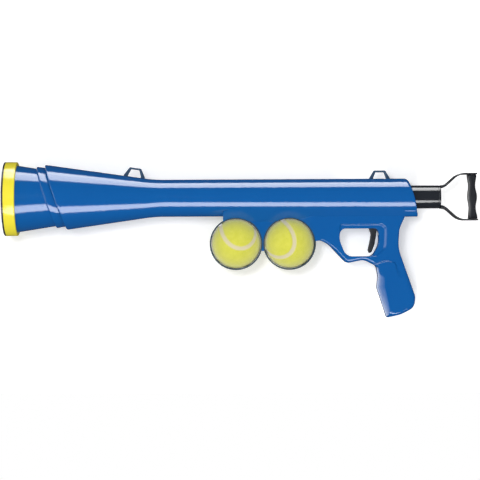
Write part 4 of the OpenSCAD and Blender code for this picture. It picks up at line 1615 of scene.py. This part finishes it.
    def plated_steel(self) -> Material:
        """Make zinc-plated steel for springs, pins and screws.

        Returns:
            The material.
        """
        material = self.moulded("plated_steel", (176, 178, 176), (198, 199, 196), rough=0.26, grain=0.06)
        make = TreeMaker(material.node_tree)
        make.feed(make.shader, {"Metallic": 1.0})
        return material


class Studio:
    """The pale paper behind and under the launcher, the lights and the camera."""

    middle = Vector((0.2974, 0.0, -0.0533))
    camera_away = 2.5
    lens = 148.0
    roll = 0.3
    paper_y = 0.049
    paper_turn = 0.03
    paper_drop = 0.0015

    def build(self) -> None:
        """Make the whole stage."""
        self.world()
        self.paper()
        self.lamps()
        self.camera()

    def camera(self) -> None:
        """Make the camera at the photograph's angle."""
        data = bpy.data.cameras.new("camera")
        data.sensor_width = 36.0
        data.lens = self.lens
        camera = in_scene("camera", data)
        camera.location = self.middle + Vector((0, -self.camera_away, 0))
        camera.rotation_euler = (math.pi / 2, math.radians(self.roll), 0)
        bpy.context.scene.camera = camera

    @staticmethod
    def world() -> None:
        """Make a dim room that looks white to the camera."""
        dim, white, mirrored = 0.5, 1.0, -0.44
        world = bpy.data.worlds.new("room")
        world.use_nodes = True
        bpy.context.scene.world = world
        bpy.context.scene.view_settings.view_transform = "Standard"
        make = TreeMaker(world.node_tree)
        path = make.add("ShaderNodeLightPath")
        tone = make.add("ShaderNodeMapRange", {
            "Value": path.outputs["Is Camera Ray"], "To Min": dim, "To Max": white})
        room = make.add("ShaderNodeMath", {
            0: path.outputs["Is Glossy Ray"], 1: mirrored, 2: tone}, operation="MULTIPLY_ADD")
        make.feed(world.node_tree.nodes["Background"], {"Strength": room, "Color": (1, 1, 1, 1)})

    @staticmethod
    def paper_finish() -> Material:
        """Make white paper that is seen only from its front.

        To the camera it glows a little, most where it lies flat. Along X the glow paints light and shade: it rises
        behind the trigger window and the tube to wash out their shadows, and dips behind the grip to deepen the
        grip's shadow.

        Returns:
            The material.
        """
        flat_glow, darker, paler = 0.97, 0.88, 0.92
        # These stops paint light and shade on the paper: its glow by place along X.
        stops = ((0.415, 0.28), (0.435, 0.42), (0.468, 0.42), (0.49, 0.26), (0.523, 0.26), (0.538, 0.6))
        material, make = Finishes.new_material("white_paper")
        make.tree.nodes.remove(make.shader)
        path = make.add("ShaderNodeLightPath")
        side = make.add("ShaderNodeNewGeometry")
        fibre = make.add("ShaderNodeTexNoise", {"Scale": 900.0, "Detail": 3.0})
        tone = make.add("ShaderNodeMapRange", {"Value": fibre, "To Min": darker, "To Max": paler})
        white = make.add("ShaderNodeBsdfDiffuse", {"Color": tone})
        facing = make.add("ShaderNodeSeparateXYZ", {0: side.outputs["Normal"]})
        along = make.add("ShaderNodeSeparateXYZ", {0: side.outputs["Position"]})
        upright = make.add("ShaderNodeValToRGB", {"Fac": along.outputs["X"]})
        points = upright.color_ramp.elements
        points.remove(points[0])
        for place, _ in stops[:-1]:
            points.new(place)
        for point, (place, level) in zip(points, stops):
            point.position = place
            point.color = (level, level, level, 1)
        glow = make.add("ShaderNodeMapRange", {
            "Value": facing.outputs["Z"], "To Min": upright, "To Max": flat_glow})
        lit = make.add("ShaderNodeMath", {0: path.outputs["Is Camera Ray"], 1: glow}, operation="MULTIPLY")
        glowing = make.add("ShaderNodeEmission", {"Strength": lit})
        paper = make.add("ShaderNodeAddShader", {0: white, 1: glowing})
        clear = make.add("ShaderNodeBsdfTransparent")
        mix = make.add("ShaderNodeMixShader", {0: side.outputs["Backfacing"], 1: paper, 2: clear})
        make.feed(make.tree.nodes["Material Output"], {"Surface": mix})
        return material

    def paper(self) -> None:
        """Make the paper that hangs behind the launcher and sweeps forwards under its grip."""
        low = CAD_BOX[0].z - self.paper_drop
        reach, top, front, bend, steps = 1.1, 0.5, -1.2, 0.04, 16
        turns = [math.pi / 2 * k / steps for k in range(steps + 1)]
        curve = [(self.paper_y, top)]
        curve += [(self.paper_y - bend * (1 - math.cos(t)), low + bend * (1 - math.sin(t))) for t in turns]
        curve.append((front, low))
        sides = self.middle.x - reach, self.middle.x + reach
        count = len(curve)
        mesh = bpy.data.meshes.new("paper_sweep")
        mesh.from_pydata([(x, y - self.paper_turn * x, z) for x in sides for y, z in curve], [],
                         [(k, k + 1, count + k + 1, count + k) for k in range(count - 1)])
        mesh.shade_smooth()
        mesh.materials.append(self.paper_finish())
        sheet = in_scene("paper_sweep", mesh)
        sheet.visible_glossy = sheet.visible_diffuse = sheet.visible_shadow = False

    def lamp(self, name: str, place: Vector, aim: Vector, size: tuple[float, float], power: float,
             glossy: bool, side: Sequence[float] = (1, 0, 0)) -> None:
        """Hang one flat lamp that either shows in reflections or lights the surfaces.

        Args:
            name: Its name.
            place: Where it hangs.
            aim: Where it points.
            size: Its length and width.
            power: Its power, in watts.
            glossy: Whether it shows in reflections only.
            side: The direction of its length.
        """
        data = bpy.data.lights.new(name, "AREA")
        data.shape = "RECTANGLE"
        data.size, data.size_y = size
        data.energy = power
        lamp = in_scene(name, data)
        lamp.location = place
        away = (place - aim).normalized()
        up = away.cross(Vector(side)).normalized()
        lamp.rotation_euler = Matrix((up.cross(away), up, away)).transposed().to_euler()
        lamp.visible_camera = False
        lamp.visible_glossy = glossy
        lamp.visible_diffuse = not glossy

    def strip(self, name: str, low: float, high: float, lean: float, light: float) -> None:
        """Hang a long strip light along X that the barrel mirrors as a band.

        Args:
            name: Its name.
            low: Lower edge, in degrees above the horizon as the barrel sees it.
            high: Upper edge, in degrees.
            lean: How far it leans down towards the handle, in degrees.
            light: Its radiance.
        """
        left, right, pivot, away = -0.3, 0.95, 0.2, 1.6
        turn, slope = math.radians((low + high) / 2), math.radians(lean)
        outwards = Vector((0, -math.cos(turn), math.sin(turn)))
        side = Vector((math.cos(slope), -math.sin(slope) * math.sin(turn), -math.sin(slope) * math.cos(turn)))
        length = (right - left) / math.cos(slope)
        width = 2 * away * math.tan(math.radians(high - low) / 2) * math.cos(slope)
        place = Vector((pivot, 0, 0)) + away * outwards + side * ((left + right) / 2 - pivot) / math.cos(slope)
        self.lamp(name, place, place - outwards, (length, width), light * math.pi * length * width, True, side)

    def lamps(self) -> None:
        """Hang the strips that give the long highlights, and the soft lamps."""
        self.strip("upper_strip", low=67.0, high=105.0, lean=0.0, light=10.5)
        self.strip("lower_strip", low=-52.6, high=-27.0, lean=24.0, light=10.5)
        soft = (("key", (-0.35, -2.1, 0.32), (0.4, 0.4), 16.0), ("fill", (0.1, -2.0, -0.2), (3.0, 3.0), 10.0),
                ("bounce", (0.0, -1.2, -1.5), (2.6, 1.2), 6.0))
        for name, away, size, power in soft:
            self.lamp(name, self.middle + Vector(away), self.middle, size, power, False)
        wall_x, wall_high = -1.6, 2.0
        walls = (("left_wall_front", -5.0, -2.1, 1.3), ("left_wall_middle", -2.1, -0.55, 2.6),
                 ("left_wall_back", -0.55, 3.5, 4.3))
        for name, near, far, light in walls:
            place = Vector((wall_x, (near + far) / 2, self.middle.z))
            power = light * math.pi * (far - near) * wall_high
            self.lamp(name, place, place + Vector((1, 0, 0)), (far - near, wall_high), power, True, (0, 1, 0))


def plain_nodes(finishes: Finishes) -> None:
    """Give the solids that keep their own shape a fitting finish.

    Args:
        finishes: The launcher's finishes.
    """
    kept = {
        finishes.acetal: ("sear", "plunger_head", "rear_bushing"),
        finishes.rubber: ("buffer_washer",),
        finishes.steel: ("trigger_pin", "plunger_pin", "handle_pin"),
    }
    for finish, names in kept.items():
        for name in names:
            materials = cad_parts[name].data.materials
            for slot in range(len(materials)):
                materials[slot] = finish


def main() -> None:
    """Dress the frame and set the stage."""
    logging.basicConfig(level=logging.INFO, format="%(name)s: %(message)s")
    finishes = Finishes()
    Studio().build()
    body = MouldedBody()
    body.dress(finishes.blue)
    Muzzle(body).dress(finishes.blue, finishes.yellow)
    FeltBall("ball_front", Body.FRONT_BALL, turns=(33.0, 152.3, -25.1)).dress(finishes.felt)
    FeltBall("ball_rear", Body.REAR_BALL, turns=(-37.9, 46.1, 85.0)).dress(finishes.felt)
    Trigger(body).dress(finishes.satin)
    PullHandle().dress(finishes.satin)
    Plunger().dress(finishes.gloss, finishes.rubber, finishes.steel)
    coils = (
        Coil("main_spring", "plunger_pull", wire=2.2, turns=24, axis=0, anchor_high=True, travel=160),
        Coil("trigger_spring", "trigger_pull", wire=0.8, turns=7, axis=0, anchor_high=True, travel=2.6),
        Coil("sear_spring", "sear_drop", wire=0.8, turns=6, axis=2, anchor_high=False, travel=3.0))
    for coil in coils:
        coil.dress(finishes.steel)
    screw = Screw(head_r=3.0, head_h=1.8, shank_r=1.45, length=11.0)
    screws = screwed(body, screw.mesh(), finishes.steel)
    shown("shell_screws_set", screws, Body.SHELL, ["shell_screws"])
    plain_nodes(finishes)
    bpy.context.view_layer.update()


if __name__ == "__main__":
    main()
